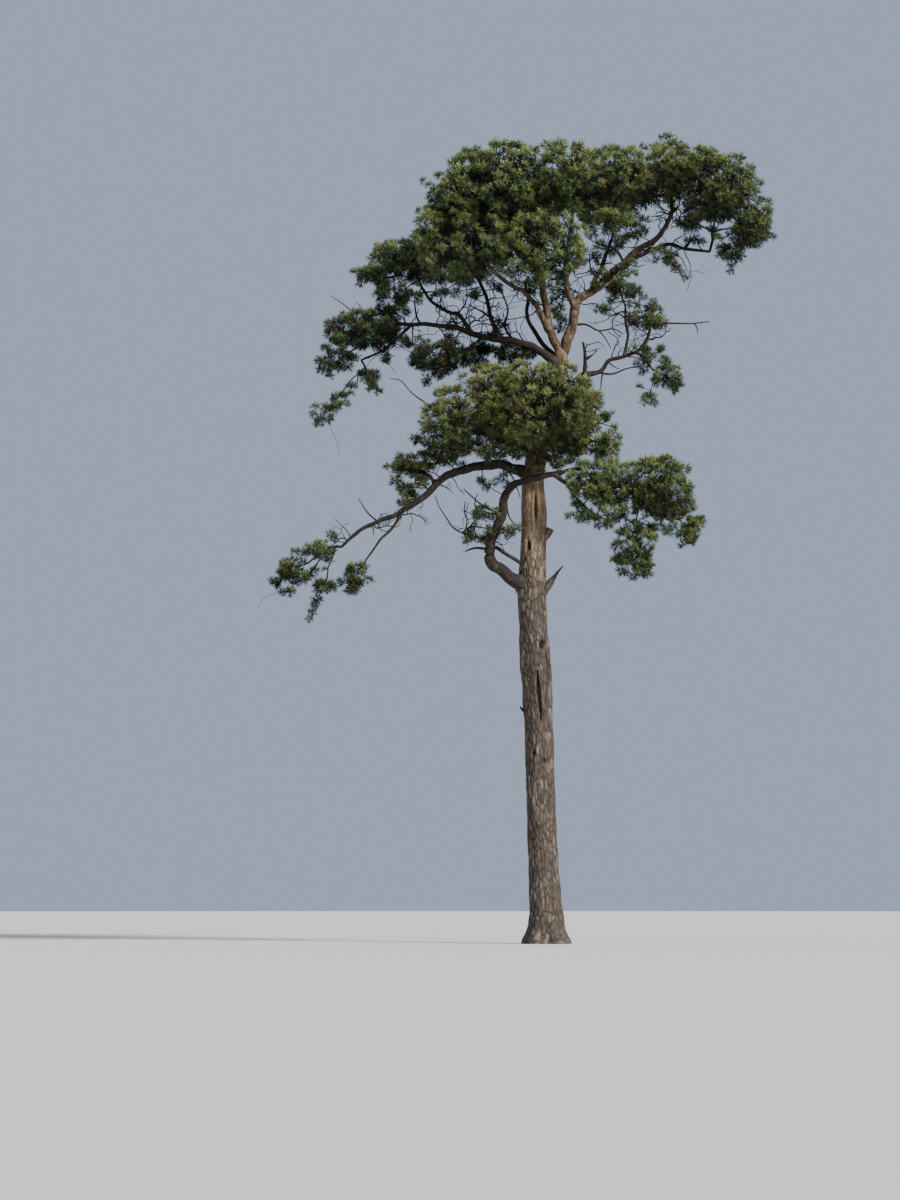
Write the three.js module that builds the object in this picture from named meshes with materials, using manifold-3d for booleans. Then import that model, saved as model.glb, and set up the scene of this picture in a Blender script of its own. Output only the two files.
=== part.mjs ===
// A lone old Scots pine, 19 m tall, in millimetres, +Z up, its foot's centre at the origin.
// A bare leaning trunk forks high up, and crooked boughs carry clouds of needles.
// The trunk, each bough and each mass of foliage is a solid of its own.

import * as THREE from "three";
import { mergeVertices } from "three/addons/utils/BufferGeometryUtils.js";
import Module from "manifold-3d";

const wasm = await Module();
wasm.setup();

// Driving dimensions. Places and sizes in the tables below are in metres.
const METRE = 1000;
const GAP = 0.3; // mm left between two solids that meet
const FUSE_DETAIL = 2; // mm: faces smaller than this are dropped where foliage is fused
const CUT_DETAIL = 0.05; // mm: and this where a solid is cut by its neighbour
const TRUNK_SIDES = 12;
const BOUGH_SIDES = 6;
const TWIG_SIDES = 3;
const RING_STEP = 0.5; // metres between two rings of a bough
const TRUNK_STEP = 0.62;
const FLARE_HEIGHT = 0.9; // metres over which the roots swell the foot
const FLARE_LOBES = 5;
const FLARE_SWELL = 0.17;
const FLARE_MEAN = 0.6; // the swell between lobes, as a share of a lobe's
const MERGE = 1e-3; // mm within which two vertices are one

// A spray of needles: a toothed blade, long for its mass, 1 unit from root to tip.
const TOOTH_REACH = 0.72;
const TOOTH_SPREAD = 0.42;
const NOTCH_REACH = 0.78;
const NOTCH_SPREAD = 0.15;
const BLADE_BULGE = 0.045; // half the blade's thickness at its ridge
const RIDGE_REACH = 0.68;
const BLADE_BASE = 0.15; // metres added to a blade that is BLADE_SHARE of its clump's radius
const BLADE_SHARE = 0.55;
const SPRAYS_BASE = 2; // sprays on a clump: a base, and more for each metre of radius
const SPRAYS_PER_METRE = 4.8;
const CORE_SHARE = 0.79; // of its clump, in radii
const CORE_DETAIL = 1;
const SMALL_CORE_SHARE = 0.7;
const LARGE_CLUMP = 0.6; // metres of mean radius: a smaller clump has a plainer, smaller core
const CORE_GAP = 6; // mm that a core grows by to keep others clear of it
const TRUNK_STEM_RADIUS = 55; // mm, of a mass that the trunk carries itself
const STEM_SHARE = 0.9; // a mass's stem for its bough's tip, in radii
const STEM_TAPER = 0.35; // what the stem loses by its fork
const STEM_RINGS = 3;
const STUB_RINGS = 2;
const FORK_SHARE = { one: 0.6, several: 0.35 }; // where the stem forks on its way to the first clump
const MAIN_TWIG = [0.6, 0.42]; // radii of the twigs to the clumps, for the stem's
const ARM_TWIG = [0.4, 0.28]; // and of an open clump's arms
const ARM_REACH = 0.5; // how far an arm runs from its clump's heart to the shell
const OUT_TWIG = [22, 9]; // mm: radii of a twig that reaches out of its mass
const OUT_SPRAY = 420; // mm: the spray on its end
const SINK = 60; // mm that a root is sunk into the twig it grows from
const CORE_ROUGHNESS = 0.16;
const FULLNESS = 2.7; // 2 would make a clump a ball, more makes it boxier
const UNDERSIDE_SHARE = 0.8; // clouds of pine needles are flatter below
const SPACE_MARGIN = 0.02; // radii between the spaces of two masses
const SHAKE = { up: 0.18, turn: 0.6, reach: 0.1 }; // how much chance moves a spray's tip on the shell
const SHELL_REACH = 0.95;
const SEEDS = { core: 900, sprays: 17, step: 101 };
const HIDDEN = 0.98; // a spray whose tip is this deep in a neighbouring clump is left out
const ROOM = 1.16; // a vertex may stand this far out of its clump, in radii
const ARMS = 2; // twigs that an open clump forks into
const GOLDEN_ANGLE = Math.PI * (3 - Math.sqrt(5));

// The trunk: across, into the picture, up, radius.
const TRUNK = [
  [0.0, 0.0, 0.0, 0.5],
  [0.0, 0.0, 0.45, 0.42],
  [-0.02, 0.0, 1.0, 0.375],
  [-0.09, 0.02, 2.4, 0.35],
  [-0.14, 0.04, 4.0, 0.338],
  [-0.18, 0.05, 5.3, 0.345],
  [-0.25, 0.05, 6.6, 0.366],
  [-0.31, 0.04, 7.6, 0.335],
  [-0.33, 0.02, 8.4, 0.335],
  [-0.3, 0.0, 9.1, 0.302],
  [-0.28, 0.0, 10.1, 0.3],
  [-0.3, 0.0, 10.9, 0.262],
  [-0.16, 0.0, 11.7, 0.225],
  [0.1, 0.0, 12.5, 0.19],
  [0.35, 0.0, 13.3, 0.158],
  [0.36, 0.0, 14.05, 0.15],
];

// A broken stub stands out of the trunk's right shoulder.
const SHOULDER_STUB = { r0: 0.13, r1: 0.085, path: [[-0.14, -0.02, 9.4], [0.02, -0.03, 9.58],
  [0.11, -0.03, 9.74]] };

// Each bough: what it grows on, whether from that one's side or tip, its radii and its route.
const BOUGHS = [
  { name: "left_stem", on: "trunk", from: "side", r0: 0.105, r1: 0.06,
    path: [[0.3, 0, 13.85], [0.12, -0.08, 14.4], [0, -0.15, 14.9], [-0.08, -0.22, 15.5],
      [-0.3, -0.4, 16.1], [-0.7, -0.6, 16.6]] },
  { name: "right_stem", on: "trunk", from: "side", r0: 0.13, r1: 0.04,
    path: [[0.42, 0, 13.8], [0.57, 0, 14.4], [0.7, 0, 14.9], [0.78, 0, 15.12], [1.1, 0.04, 15.35],
      [1.55, 0.08, 15.75], [1.95, 0.1, 16.12], [2.3, 0.08, 16.42], [2.6, 0.05, 16.6],
      [2.82, 0.02, 16.9], [2.95, 0, 17.2], [2.97, -0.05, 17.5]] },
  { name: "high_left_bough", on: "left_stem", from: "side", r0: 0.075, r1: 0.04,
    path: [[0.1, -0.09, 14.4], [-0.08, -0.25, 14.72], [-0.27, -0.4, 15.02], [-0.55, -0.6, 15.28],
      [-1, -0.95, 15.5], [-1.5, -1.35, 15.95]] },
  { name: "skirt_bough", on: "left_stem", from: "side", r0: 0.045, r1: 0.035,
    path: [[-0.05, -0.19, 15.25], [-0.1, -0.5, 15.4], [-0.18, -1, 15.65]] },
  { name: "back_left_bough", on: "left_stem", from: "side", r0: 0.06, r1: 0.04,
    path: [[-0.09, -0.23, 15.55], [-0.25, 0.35, 15.85], [-0.5, 0.9, 16.2], [-0.7, 1.2, 16.45]] },
  { name: "inner_stem", on: "right_stem", from: "side", r0: 0.05, r1: 0.034,
    path: [[0.72, 0, 15], [0.6, 0.15, 15.15], [0.48, 0.32, 15.3]] },
  { name: "centre_bough", on: "right_stem", from: "side", r0: 0.065, r1: 0.045,
    path: [[0.71, 0, 14.93], [0.52, -0.25, 15.35], [0.45, -0.55, 15.9], [0.55, -0.8, 16.5],
      [0.6, -0.95, 16.9]] },
  { name: "back_right_bough", on: "right_stem", from: "side", r0: 0.065, r1: 0.04,
    path: [[1.1, 0.04, 15.35], [1.25, 0.5, 15.8], [1.45, 1, 16.3], [1.6, 1.3, 16.75]] },
  { name: "right_far_bough", on: "right_stem", from: "side", r0: 0.055, r1: 0.035,
    path: [[1.9, 0.1, 16.08], [2.4, -0.02, 16.27], [2.9, -0.12, 16.46], [3.3, -0.13, 16.34],
      [3.8, -0.12, 16.28]] },
  { name: "right_hang_spur", on: "right_far_bough", from: "side", r0: 0.026, r1: 0.022,
    path: [[2.7, -0.08, 16.4], [2.76, -0.2, 16.36], [2.8, -0.3, 16.3]] },
  { name: "under_left_bough", on: "trunk", from: "side", r0: 0.095, r1: 0.04,
    path: [[0.3, 0, 13.6], [-0.4, -0.22, 14.05], [-1.1, -0.35, 14.2], [-1.8, -0.45, 14.28],
      [-2.15, -0.45, 14.45], [-2.9, -0.35, 14.53], [-3.5, -0.2, 14.55]] },
  { name: "riser_bough", on: "under_left_bough", from: "side", r0: 0.055, r1: 0.038,
    path: [[-1.05, -0.34, 14.19], [-1.28, -0.3, 14.6], [-1.36, -0.25, 15], [-1.5, -0.1, 15.45],
      [-1.65, 0.05, 15.75]] },
  { name: "shoulder_bough", on: "under_left_bough", from: "side", r0: 0.05, r1: 0.034,
    path: [[-1.72, -0.43, 14.27], [-1.98, -0.38, 14.68], [-2.35, -0.3, 14.87], [-2.7, -0.2, 15.1],
      [-2.9, -0.12, 15.4]] },
  { name: "under_left_spur", on: "under_left_bough", from: "side", r0: 0.035, r1: 0.03,
    path: [[-1.45, -0.4, 14.24], [-1.62, -0.2, 14.12], [-1.8, -0.05, 14.02]] },
  { name: "left_hang_bough", on: "under_left_bough", from: "side", r0: 0.034, r1: 0.026,
    path: [[-3.15, -0.3, 14.54], [-3.5, 0.1, 14.25], [-3.9, 0.3, 13.95], [-4.3, 0.35, 13.78]] },
  { name: "stub_stem", on: "trunk", from: "side", r0: 0.085, r1: 0.03,
    path: [[0.26, 0, 12.75], [0.6, 0.03, 12.93], [0.83, 0.04, 13.15], [0.9, 0.04, 13.45],
      [0.93, 0.02, 13.8], [0.88, 0, 14.15]] },
  { name: "right_mid_bough", on: "stub_stem", from: "side", r0: 0.055, r1: 0.034,
    path: [[0.9, 0.04, 13.38], [1.25, 0.08, 13.45], [1.5, 0.1, 13.73], [1.88, 0.1, 13.83],
      [2.15, 0.12, 13.95], [2.38, 0.13, 14.2], [2.45, 0.13, 14.4]] },
  { name: "right_riser", on: "right_mid_bough", from: "side", r0: 0.034, r1: 0.026,
    path: [[1.86, 0.1, 13.83], [1.93, 0.1, 14.3], [1.88, 0.1, 14.7], [1.88, 0.1, 14.95]] },
  { name: "right_lower_bough", on: "right_mid_bough", from: "side", r0: 0.028, r1: 0.022,
    path: [[2.13, 0.12, 13.94], [2.33, 0.17, 13.76], [2.5, 0.2, 13.55]] },
  { name: "long_bough", on: "trunk", from: "side", r0: 0.125, r1: 0.098,
    path: [[-0.28, 0, 10.95], [-0.9, -0.25, 11.18], [-1.55, -0.4, 11.2], [-2.1, -0.45, 11.05]] },
  { name: "long_bough_outer", on: "long_bough", from: "tip", r0: 0.094, r1: 0.066,
    path: [[-2.1, -0.45, 11.05], [-2.5, -0.48, 10.82], [-3, -0.5, 10.36], [-3.5, -0.5, 10.03]] },
  { name: "tip_bough_upper", on: "long_bough_outer", from: "tip", r0: 0.06, r1: 0.036,
    path: [[-3.5, -0.5, 10.03], [-3.9, -0.48, 9.89], [-4.3, -0.45, 9.71], [-4.58, -0.42, 9.48],
      [-4.75, -0.4, 9.33]] },
  { name: "tip_bough_lower", on: "long_bough_outer", from: "side", r0: 0.036, r1: 0.022,
    path: [[-3.38, -0.5, 10.09], [-3.62, -0.42, 9.7], [-3.87, -0.38, 9.48], [-4.07, -0.33, 9.2],
      [-4.18, -0.3, 9.05]] },
  { name: "long_bough_spur", on: "long_bough_outer", from: "side", r0: 0.036, r1: 0.03,
    path: [[-2.6, -0.48, 10.72], [-2.72, -0.35, 10.93], [-2.88, -0.25, 11.05]] },
  { name: "low_bough", on: "trunk", from: "side", r0: 0.165, r1: 0.125,
    path: [[-0.32, 0, 8.25], [-0.64, -0.12, 8.45], [-1, -0.23, 8.7], [-1.27, -0.31, 8.93],
      [-1.36, -0.34, 9.16]] },
  { name: "low_bough_rise", on: "low_bough", from: "tip", r0: 0.12, r1: 0.1,
    path: [[-1.36, -0.34, 9.16], [-1.25, -0.38, 9.42], [-1.1, -0.42, 9.85], [-1, -0.45, 10.3],
      [-0.9, -0.48, 10.62]] },
  { name: "cross_bough", on: "low_bough_rise", from: "tip", r0: 0.095, r1: 0.06,
    path: [[-0.9, -0.48, 10.62], [-0.7, -0.5, 10.77], [-0.3, -0.52, 10.88], [0.1, -0.52, 10.97],
      [0.42, -0.52, 11.04]] },
  { name: "cross_upper", on: "cross_bough", from: "tip", r0: 0.046, r1: 0.036,
    path: [[0.42, -0.52, 11.04], [0.66, -0.56, 11.1], [0.85, -0.6, 11.1]] },
  { name: "cross_lower", on: "cross_bough", from: "side", r0: 0.05, r1: 0.036,
    path: [[0.18, -0.52, 10.99], [0.4, -0.72, 10.8], [0.7, -1, 10.7], [1.2, -1.2, 10.62],
      [1.6, -1.15, 10.55], [1.95, -1, 10.5]] },
  { name: "low_twig", on: "low_bough_rise", from: "side", r0: 0.034, r1: 0.024,
    path: [[-1.29, -0.39, 9.5], [-1.6, -0.45, 9.5], [-1.9, -0.47, 9.6]] },
  { name: "right_stub", on: "trunk", from: "side", r0: 0.085, r1: 0.012,
    path: [[-0.1, 0, 8.22], [0.08, -0.02, 8.44], [0.24, -0.03, 8.67], [0.4, -0.04, 8.86]] },
];

// Each mass: what carries it, its clumps as centre and radii, dense or open, single tips that reach out
// of it, and bare dead twigs. A mass on the trunk gives root, the point that its stem starts from.
const MASSES = [
  { name: "top_left_mass", on: "left_stem", dense: true,
    clumps: [[-1.9, -0.75, 17.2, 1, 1.4, 1.15], [-0.9, -0.95, 17.6, 1.15, 1.5, 1.28],
      [-1.56, -0.4, 18.1, 0.92, 1.3, 0.74]],
    tips: [[-2.98, -0.6, 17.95], [-3.1, -0.5, 17.2]] },
  { name: "top_centre_mass", on: "centre_bough", dense: true,
    clumps: [[0.55, -1.05, 17.76, 1.15, 1.5, 1.05], [1.72, -0.9, 17.95, 1.02, 1.4, 0.88],
      [1.4, -0.8, 16.95, 0.72, 1.1, 0.55]] },
  { name: "front_skirt_mass", on: "skirt_bough", dense: true,
    clumps: [[-0.2, -1.6, 16.1, 1.25, 1, 1.1], [-0.65, -1.15, 15.5, 0.5, 0.55, 0.3]] },
  { name: "left_front_mass", on: "high_left_bough", dense: true,
    clumps: [[-2, -1.6, 16.2, 1.25, 1.1, 1.06]] },
  { name: "top_left_low_mass", on: "riser_bough", dense: true,
    clumps: [[-2.2, 0.4, 16.2, 1.2, 1.2, 0.9], [-2.15, -0.05, 15.5, 0.72, 0.7, 0.36]] },
  { name: "left_shoulder_mass", on: "shoulder_bough", dense: true,
    clumps: [[-3.2, 0, 16.05, 1, 1.25, 0.7], [-4, -0.05, 15.72, 0.7, 0.9, 0.46],
      [-3.45, -0.1, 15.25, 0.68, 0.8, 0.36]] },
  { name: "left_mid_mass", on: "under_left_bough", dense: true,
    clumps: [[-4.3, 0, 14.42, 0.98, 1.05, 0.62], [-4.95, 0.1, 13.68, 0.55, 0.6, 0.4],
      [-3.6, -0.1, 14.9, 0.48, 0.65, 0.3]] },
  { name: "left_hang_mass", on: "left_hang_bough",
    clumps: [[-4.18, 0.3, 13.25, 0.4, 0.55, 0.5], [-5.28, 0.1, 12.45, 0.36, 0.5, 0.4],
      [-4.88, 0.1, 12.6, 0.28, 0.3, 0.3]], bare: [[-4.85, 0.1, 11.5]] },
  { name: "under_left_mass", on: "under_left_spur", dense: true,
    clumps: [[-2.4, -0.1, 13.77, 0.95, 1.1, 0.57], [-1, 0.4, 13.95, 0.95, 0.8, 0.42]] },
  { name: "top_right_mass", on: "right_stem", dense: true,
    clumps: [[3.15, -0.35, 18.13, 1.2, 1.6, 0.76]], tips: [[2.9, -0.1, 19.1]] },
  { name: "right_tip_mass", on: "right_far_bough", dense: true,
    clumps: [[4.15, -0.1, 17.62, 1.03, 1.6, 1.03], [4.77, -0.1, 16.95, 0.7, 1.2, 0.8],
      [3.55, -0.1, 16.95, 0.6, 0.9, 0.42], [4.4, -0.1, 16.25, 0.36, 0.6, 0.42]],
    tips: [[4.35, -0.1, 15.7], [5.47, 0, 16.6]] },
  { name: "right_hang_mass", on: "right_hang_spur",
    clumps: [[2.85, -0.4, 16.1, 0.42, 0.5, 0.35]], tips: [[3.35, -0.3, 15.55]] },
  { name: "top_back_right_mass", on: "back_right_bough", dense: true,
    clumps: [[1.75, 2, 17.9, 1.6, 1.6, 0.85], [1.35, 0.85, 16.35, 0.55, 0.5, 0.42],
      [2.1, 0.75, 16.75, 0.55, 0.5, 0.36]] },
  { name: "top_back_left_mass", on: "back_left_bough", dense: true,
    clumps: [[-1.1, 1.9, 17.3, 1.6, 1.5, 1.3]] },
  { name: "inner_mass", on: "inner_stem", dense: true,
    clumps: [[0.32, 0.5, 15.5, 0.42, 0.45, 0.6], [0.32, 0.42, 14.85, 0.26, 0.35, 0.34]] },
  { name: "right_high_mass", on: "right_riser",
    clumps: [[1.74, 0.1, 15.48, 0.56, 0.6, 0.45], [2.22, 0.12, 15.05, 0.44, 0.45, 0.34],
      [1.3, 0, 14.95, 0.28, 0.32, 0.22]] },
  { name: "right_mid_mass", on: "right_mid_bough", dense: true,
    clumps: [[2.45, 0.15, 14.7, 0.5, 0.62, 0.42]], bare: [[3.86, 0.1, 14.66]] },
  { name: "right_lower_mass", on: "right_lower_bough", dense: true,
    clumps: [[2.88, 0.2, 13.33, 0.43, 0.5, 0.52], [2.3, 0.15, 13.65, 0.34, 0.4, 0.26],
      [2.42, 0.2, 12.82, 0.25, 0.3, 0.3]] },
  { name: "mid_left_mass", on: "trunk", root: [-0.2, 0, 11.5], dense: true,
    clumps: [[-2.1, -0.4, 12.15, 0.93, 1.3, 1], [-1.25, -0.6, 12.55, 1, 1.4, 1.15],
      [-1.25, -0.55, 11.62, 0.8, 0.8, 0.36]],
    bare: [[-3.65, -0.4, 13.25]] },
  { name: "mid_front_mass", on: "trunk", root: [-0.05, 0, 12.05], dense: true,
    clumps: [[-0.1, -1.45, 12.5, 1.35, 1.05, 1.2]] },
  { name: "mid_right_mass", on: "trunk", root: [-0.1, 0, 11.8], dense: true,
    clumps: [[0.66, -0.1, 12.15, 0.86, 1.3, 1.08], [1.22, -0.1, 11.78, 0.62, 1, 0.56],
      [0.42, -0.35, 11.35, 0.36, 0.5, 0.25]] },
  { name: "mid_back_mass", on: "trunk", root: [-0.15, 0, 11.7], dense: true,
    clumps: [[-0.25, 1.4, 12.4, 1.6, 1.1, 1.2]] },
  { name: "long_bough_mass", on: "long_bough_spur", dense: true,
    clumps: [[-3.1, -0.1, 11.2, 0.6, 0.7, 0.48], [-3.25, -0.05, 10.55, 0.4, 0.55, 0.45],
      [-2.3, -0.2, 11.35, 0.5, 0.5, 0.3]], tips: [[-3.85, -0.1, 11.2]] },
  { name: "tip_left_mass", on: "tip_bough_upper", dense: true,
    clumps: [[-5.3, -0.35, 9.24, 0.56, 0.5, 0.3], [-6.03, -0.3, 8.7, 0.48, 0.55, 0.5],
      [-5.25, -0.35, 8.32, 0.46, 0.45, 0.36], [-6.1, -0.3, 8.25, 0.32, 0.35, 0.3]],
    tips: [[-5.6, -0.3, 7.5]], bare: [[-6.75, -0.3, 7.87]] },
  { name: "tip_left_low_mass", on: "tip_bough_lower", dense: true,
    clumps: [[-4.5, -0.25, 8.58, 0.45, 0.45, 0.58]] },
  { name: "low_twig_mass", on: "low_twig",
    clumps: [[-1.55, -0.52, 10.05, 0.42, 0.4, 0.38], [-1.75, -0.5, 9.42, 0.34, 0.3, 0.2],
      [-0.84, -0.68, 9.6, 0.28, 0.3, 0.38]] },
  { name: "lower_right_inner_mass", on: "cross_upper", dense: true,
    clumps: [[1.3, -0.75, 10.7, 0.92, 0.95, 0.8], [1.45, -0.8, 10.02, 0.62, 0.6, 0.36]],
    tips: [[0.4, -0.8, 9.98]] },
  { name: "lower_right_outer_mass", on: "cross_lower", dense: true,
    clumps: [[2.64, -0.75, 10.58, 0.86, 1.15, 0.93], [3.32, -0.6, 9.75, 0.46, 0.6, 0.72],
      [2.05, -0.7, 9.15, 0.64, 0.65, 0.82], [2.6, -0.7, 9.7, 0.45, 0.5, 0.26]] },
];

const BARK = { color: 0x8a6a50, roughness: 0.9, metalness: 0 };
const NEEDLES = { color: 0x3c4a22, roughness: 0.75, metalness: 0 };

// A small generator of numbers from 0 to 1, the same on every run.
function seeded(seed) {
  let state = seed >>> 0;
  return () => {
    state = (Math.imul(state, 1664525) + 1013904223) >>> 0;
    return state / 4294967296;
  };
}

const vector = (p) => new THREE.Vector3(p[0], p[1], p[2]).multiplyScalar(METRE);

// A three.js geometry as a solid for joining and cutting.
function solid(geometry) {
  const bare = geometry.clone();
  bare.deleteAttribute("normal");
  bare.deleteAttribute("uv");
  const merged = mergeVertices(bare, MERGE);
  return new wasm.Manifold(
    new wasm.Mesh({
      numProp: 3,
      vertProperties: new Float32Array(merged.attributes.position.array),
      triVerts: new Uint32Array(merged.index.array),
    }),
  );
}

function geometryOf(made) {
  const mesh = made.getMesh();
  const geometry = new THREE.BufferGeometry();
  geometry.setAttribute("position", new THREE.BufferAttribute(new Float32Array(mesh.vertProperties), 3));
  geometry.setIndex(new THREE.BufferAttribute(new Uint32Array(mesh.triVerts), 1));
  geometry.computeVertexNormals();
  return geometry;
}

// The largest body of a solid; sealed hollows and loose scraps are left out.
function mainBody(made) {
  return made.decompose().reduce((best, body) => (body.volume() > best.volume() ? body : best));
}

// A limb: a cylinder bent along a smooth curve and tapered. radiusAt takes the share of the way,
// lead turns the first ring, and outset lengthens both ends.
function limbGeometry(curve, radiusAt, sides, rings, lead, outset = 0) {
  const geometry = new THREE.CylinderGeometry(1, 1, 1, sides, rings);
  const frames = [];
  let normal = null;
  for (let i = 0; i <= rings; i++) {
    const tangent = i === 0 && lead ? lead.clone() : curve.getTangent(i / rings);
    if (!normal) normal = new THREE.Vector3(0, 1, 0).cross(tangent);
    normal.addScaledVector(tangent, -normal.dot(tangent)).normalize();
    const at = curve.getPoint(i / rings);
    if (i === 0) at.addScaledVector(tangent, -outset);
    if (i === rings) at.addScaledVector(tangent, outset);
    frames.push({ at, normal: normal.clone(), side: tangent.clone().cross(normal) });
  }
  const position = geometry.attributes.position;
  for (let i = 0; i < position.count; i++) {
    const ring = Math.round((position.getY(i) + 0.5) * rings);
    const { at, normal: n, side: b } = frames[ring];
    const across = position.getZ(i);
    const along = position.getX(i);
    const r = radiusAt(ring / rings, Math.atan2(across, along));
    const p = at.clone().addScaledVector(n, across * r).addScaledVector(b, along * r);
    position.setXYZ(i, p.x, p.y, p.z);
  }
  return geometry;
}

function routeOf(points, tipGap, lead) {
  const stations = points.map(vector);
  if (tipGap) stations[0].addScaledVector(lead, tipGap);
  return new THREE.CatmullRomCurve3(stations, false, "centripetal");
}

const ringsFor = (curve, step) => Math.max(2, Math.round(curve.getLength() / (step * METRE)));

// Trunk

// The radius at a height, smooth between the table's rows.
function trunkRadius(height) {
  const above = Math.max(1, TRUNK.findIndex((row) => row[2] >= height - MERGE));
  const [low, high] = [TRUNK[above - 1], TRUNK[above]];
  const share = THREE.MathUtils.smoothstep(height, low[2], high[2]);
  return THREE.MathUtils.lerp(low[3], high[3], share);
}

function trunkSolid(extra) {
  const curve = routeOf(TRUNK);
  const rings = ringsFor(curve, TRUNK_STEP);
  const top = TRUNK[TRUNK.length - 1][2];
  const radiusAt = (share, angle) => {
    const height = THREE.MathUtils.clamp(curve.getPoint(share).z / METRE, 0, top);
    const foot = Math.max(0, 1 - height / FLARE_HEIGHT) ** 2;
    const lobes = 1 + FLARE_SWELL * foot * (FLARE_MEAN + Math.cos(FLARE_LOBES * angle));
    return trunkRadius(height) * METRE * lobes + extra;
  };
  const geometry = limbGeometry(curve, radiusAt, TRUNK_SIDES, rings, new THREE.Vector3(0, 0, 1), extra);
  const stub = routeOf(SHOULDER_STUB.path);
  const { r0, r1 } = SHOULDER_STUB;
  const stubRadius = (share) => THREE.MathUtils.lerp(r0, r1, share) * METRE + extra;
  const stubGeometry = limbGeometry(stub, stubRadius, BOUGH_SIDES, STUB_RINGS, null, extra);
  return mainBody(solid(geometry).add(solid(stubGeometry)));
}

// Boughs

function boughSolid(spec, extra, lead) {
  const onTip = spec.from === "tip";
  const curve = routeOf(spec.path, onTip ? GAP : 0, lead);
  const radiusAt = (share) => THREE.MathUtils.lerp(spec.r0, spec.r1, share) * METRE + extra;
  const rings = ringsFor(curve, RING_STEP);
  return solid(limbGeometry(curve, radiusAt, BOUGH_SIDES, rings, onTip ? lead : null, extra));
}

const tipOf = (spec) => {
  const curve = routeOf(spec.path);
  return { at: curve.getPoint(1), lead: curve.getTangent(1), radius: spec.r1 * METRE };
};

const limbs = new Map(); // name to the finished solid
const limbRooms = new Map(); // name to the same limb made GAP thicker, which others are cut by
const tips = new Map();

limbs.set("trunk", trunkSolid(0));
limbRooms.set("trunk", trunkSolid(GAP));
for (const spec of BOUGHS) {
  const lead = tips.get(spec.on)?.lead;
  let made = boughSolid(spec, 0, lead);
  for (const [name, room] of limbRooms) {
    if (spec.from === "tip" && name === spec.on) continue;
    if (made.intersect(room).isEmpty()) continue;
    made = mainBody(made.subtract(room).simplify(CUT_DETAIL));
  }
  limbs.set(spec.name, made);
  limbRooms.set(spec.name, boughSolid(spec, GAP, lead));
  tips.set(spec.name, tipOf(spec));
}

// Masses of foliage

// A length that makes clumps boxier than balls: 1 on the surface of a clump of radius 1.
function fullLength(...parts) {
  return parts.reduce((sum, part) => sum + Math.abs(part) ** FULLNESS, 0) ** (1 / FULLNESS);
}

// How far out a point lies in a clump, in radii: 1 is on its surface.
function depthIn(clump, p) {
  const [x, y, z, rx, ry, rz] = clump.map((value) => value * METRE);
  return fullLength((p.x - x) / rx, (p.y - y) / ry, (p.z - z) / rz);
}

// The point of a clump in a direction from its centre, share of the way to its surface.
function pointIn(clump, direction, share) {
  const { x, y, z } = direction;
  const reach = share / fullLength(x, y, z);
  const drop = z < 0 ? UNDERSIDE_SHARE : 1;
  return new THREE.Vector3(
    clump[0] + clump[3] * x * reach,
    clump[1] + clump[4] * y * reach,
    clump[2] + clump[5] * z * reach * drop,
  ).multiplyScalar(METRE);
}

const depthInMass = (mass, p) => Math.min(...mass.clumps.map((clump) => depthIn(clump, p)));

// True if a point is nearer, in radii, to this mass than to any other.
function inOwnSpace(mass, p) {
  const own = depthInMass(mass, p);
  return MASSES.every((other) => other === mass || depthInMass(other, p) > own + SPACE_MARGIN);
}

// A point on a clump's shell, number index of count, spread evenly and shaken a little.
function shellPoint(clump, index, count, random) {
  const height = 1 - (2 * (index + 0.5)) / count + (random() - 0.5) * SHAKE.up;
  const up = THREE.MathUtils.clamp(height, -1, 1);
  const turn = index * GOLDEN_ANGLE + (random() - 0.5) * SHAKE.turn;
  const out = Math.sqrt(1 - up * up);
  const direction = new THREE.Vector3(out * Math.cos(turn), out * Math.sin(turn), up);
  return pointIn(clump, direction, SHELL_REACH + SHAKE.reach * random());
}

// A point on a twig, SINK before its end.
const sunk = (end, start) => end.clone().add(start.clone().sub(end).setLength(SINK));

function twigSolid(start, end, r0, r1) {
  const along = end.clone().sub(start);
  const geometry = new THREE.CylinderGeometry(r1, r0, along.length(), TWIG_SIDES, 1);
  geometry.translate(0, along.length() / 2, 0);
  const turn = new THREE.Quaternion().setFromUnitVectors(new THREE.Vector3(0, 1, 0), along.normalize());
  geometry.applyQuaternion(turn);
  return solid(geometry.translate(start.x, start.y, start.z));
}

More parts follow.
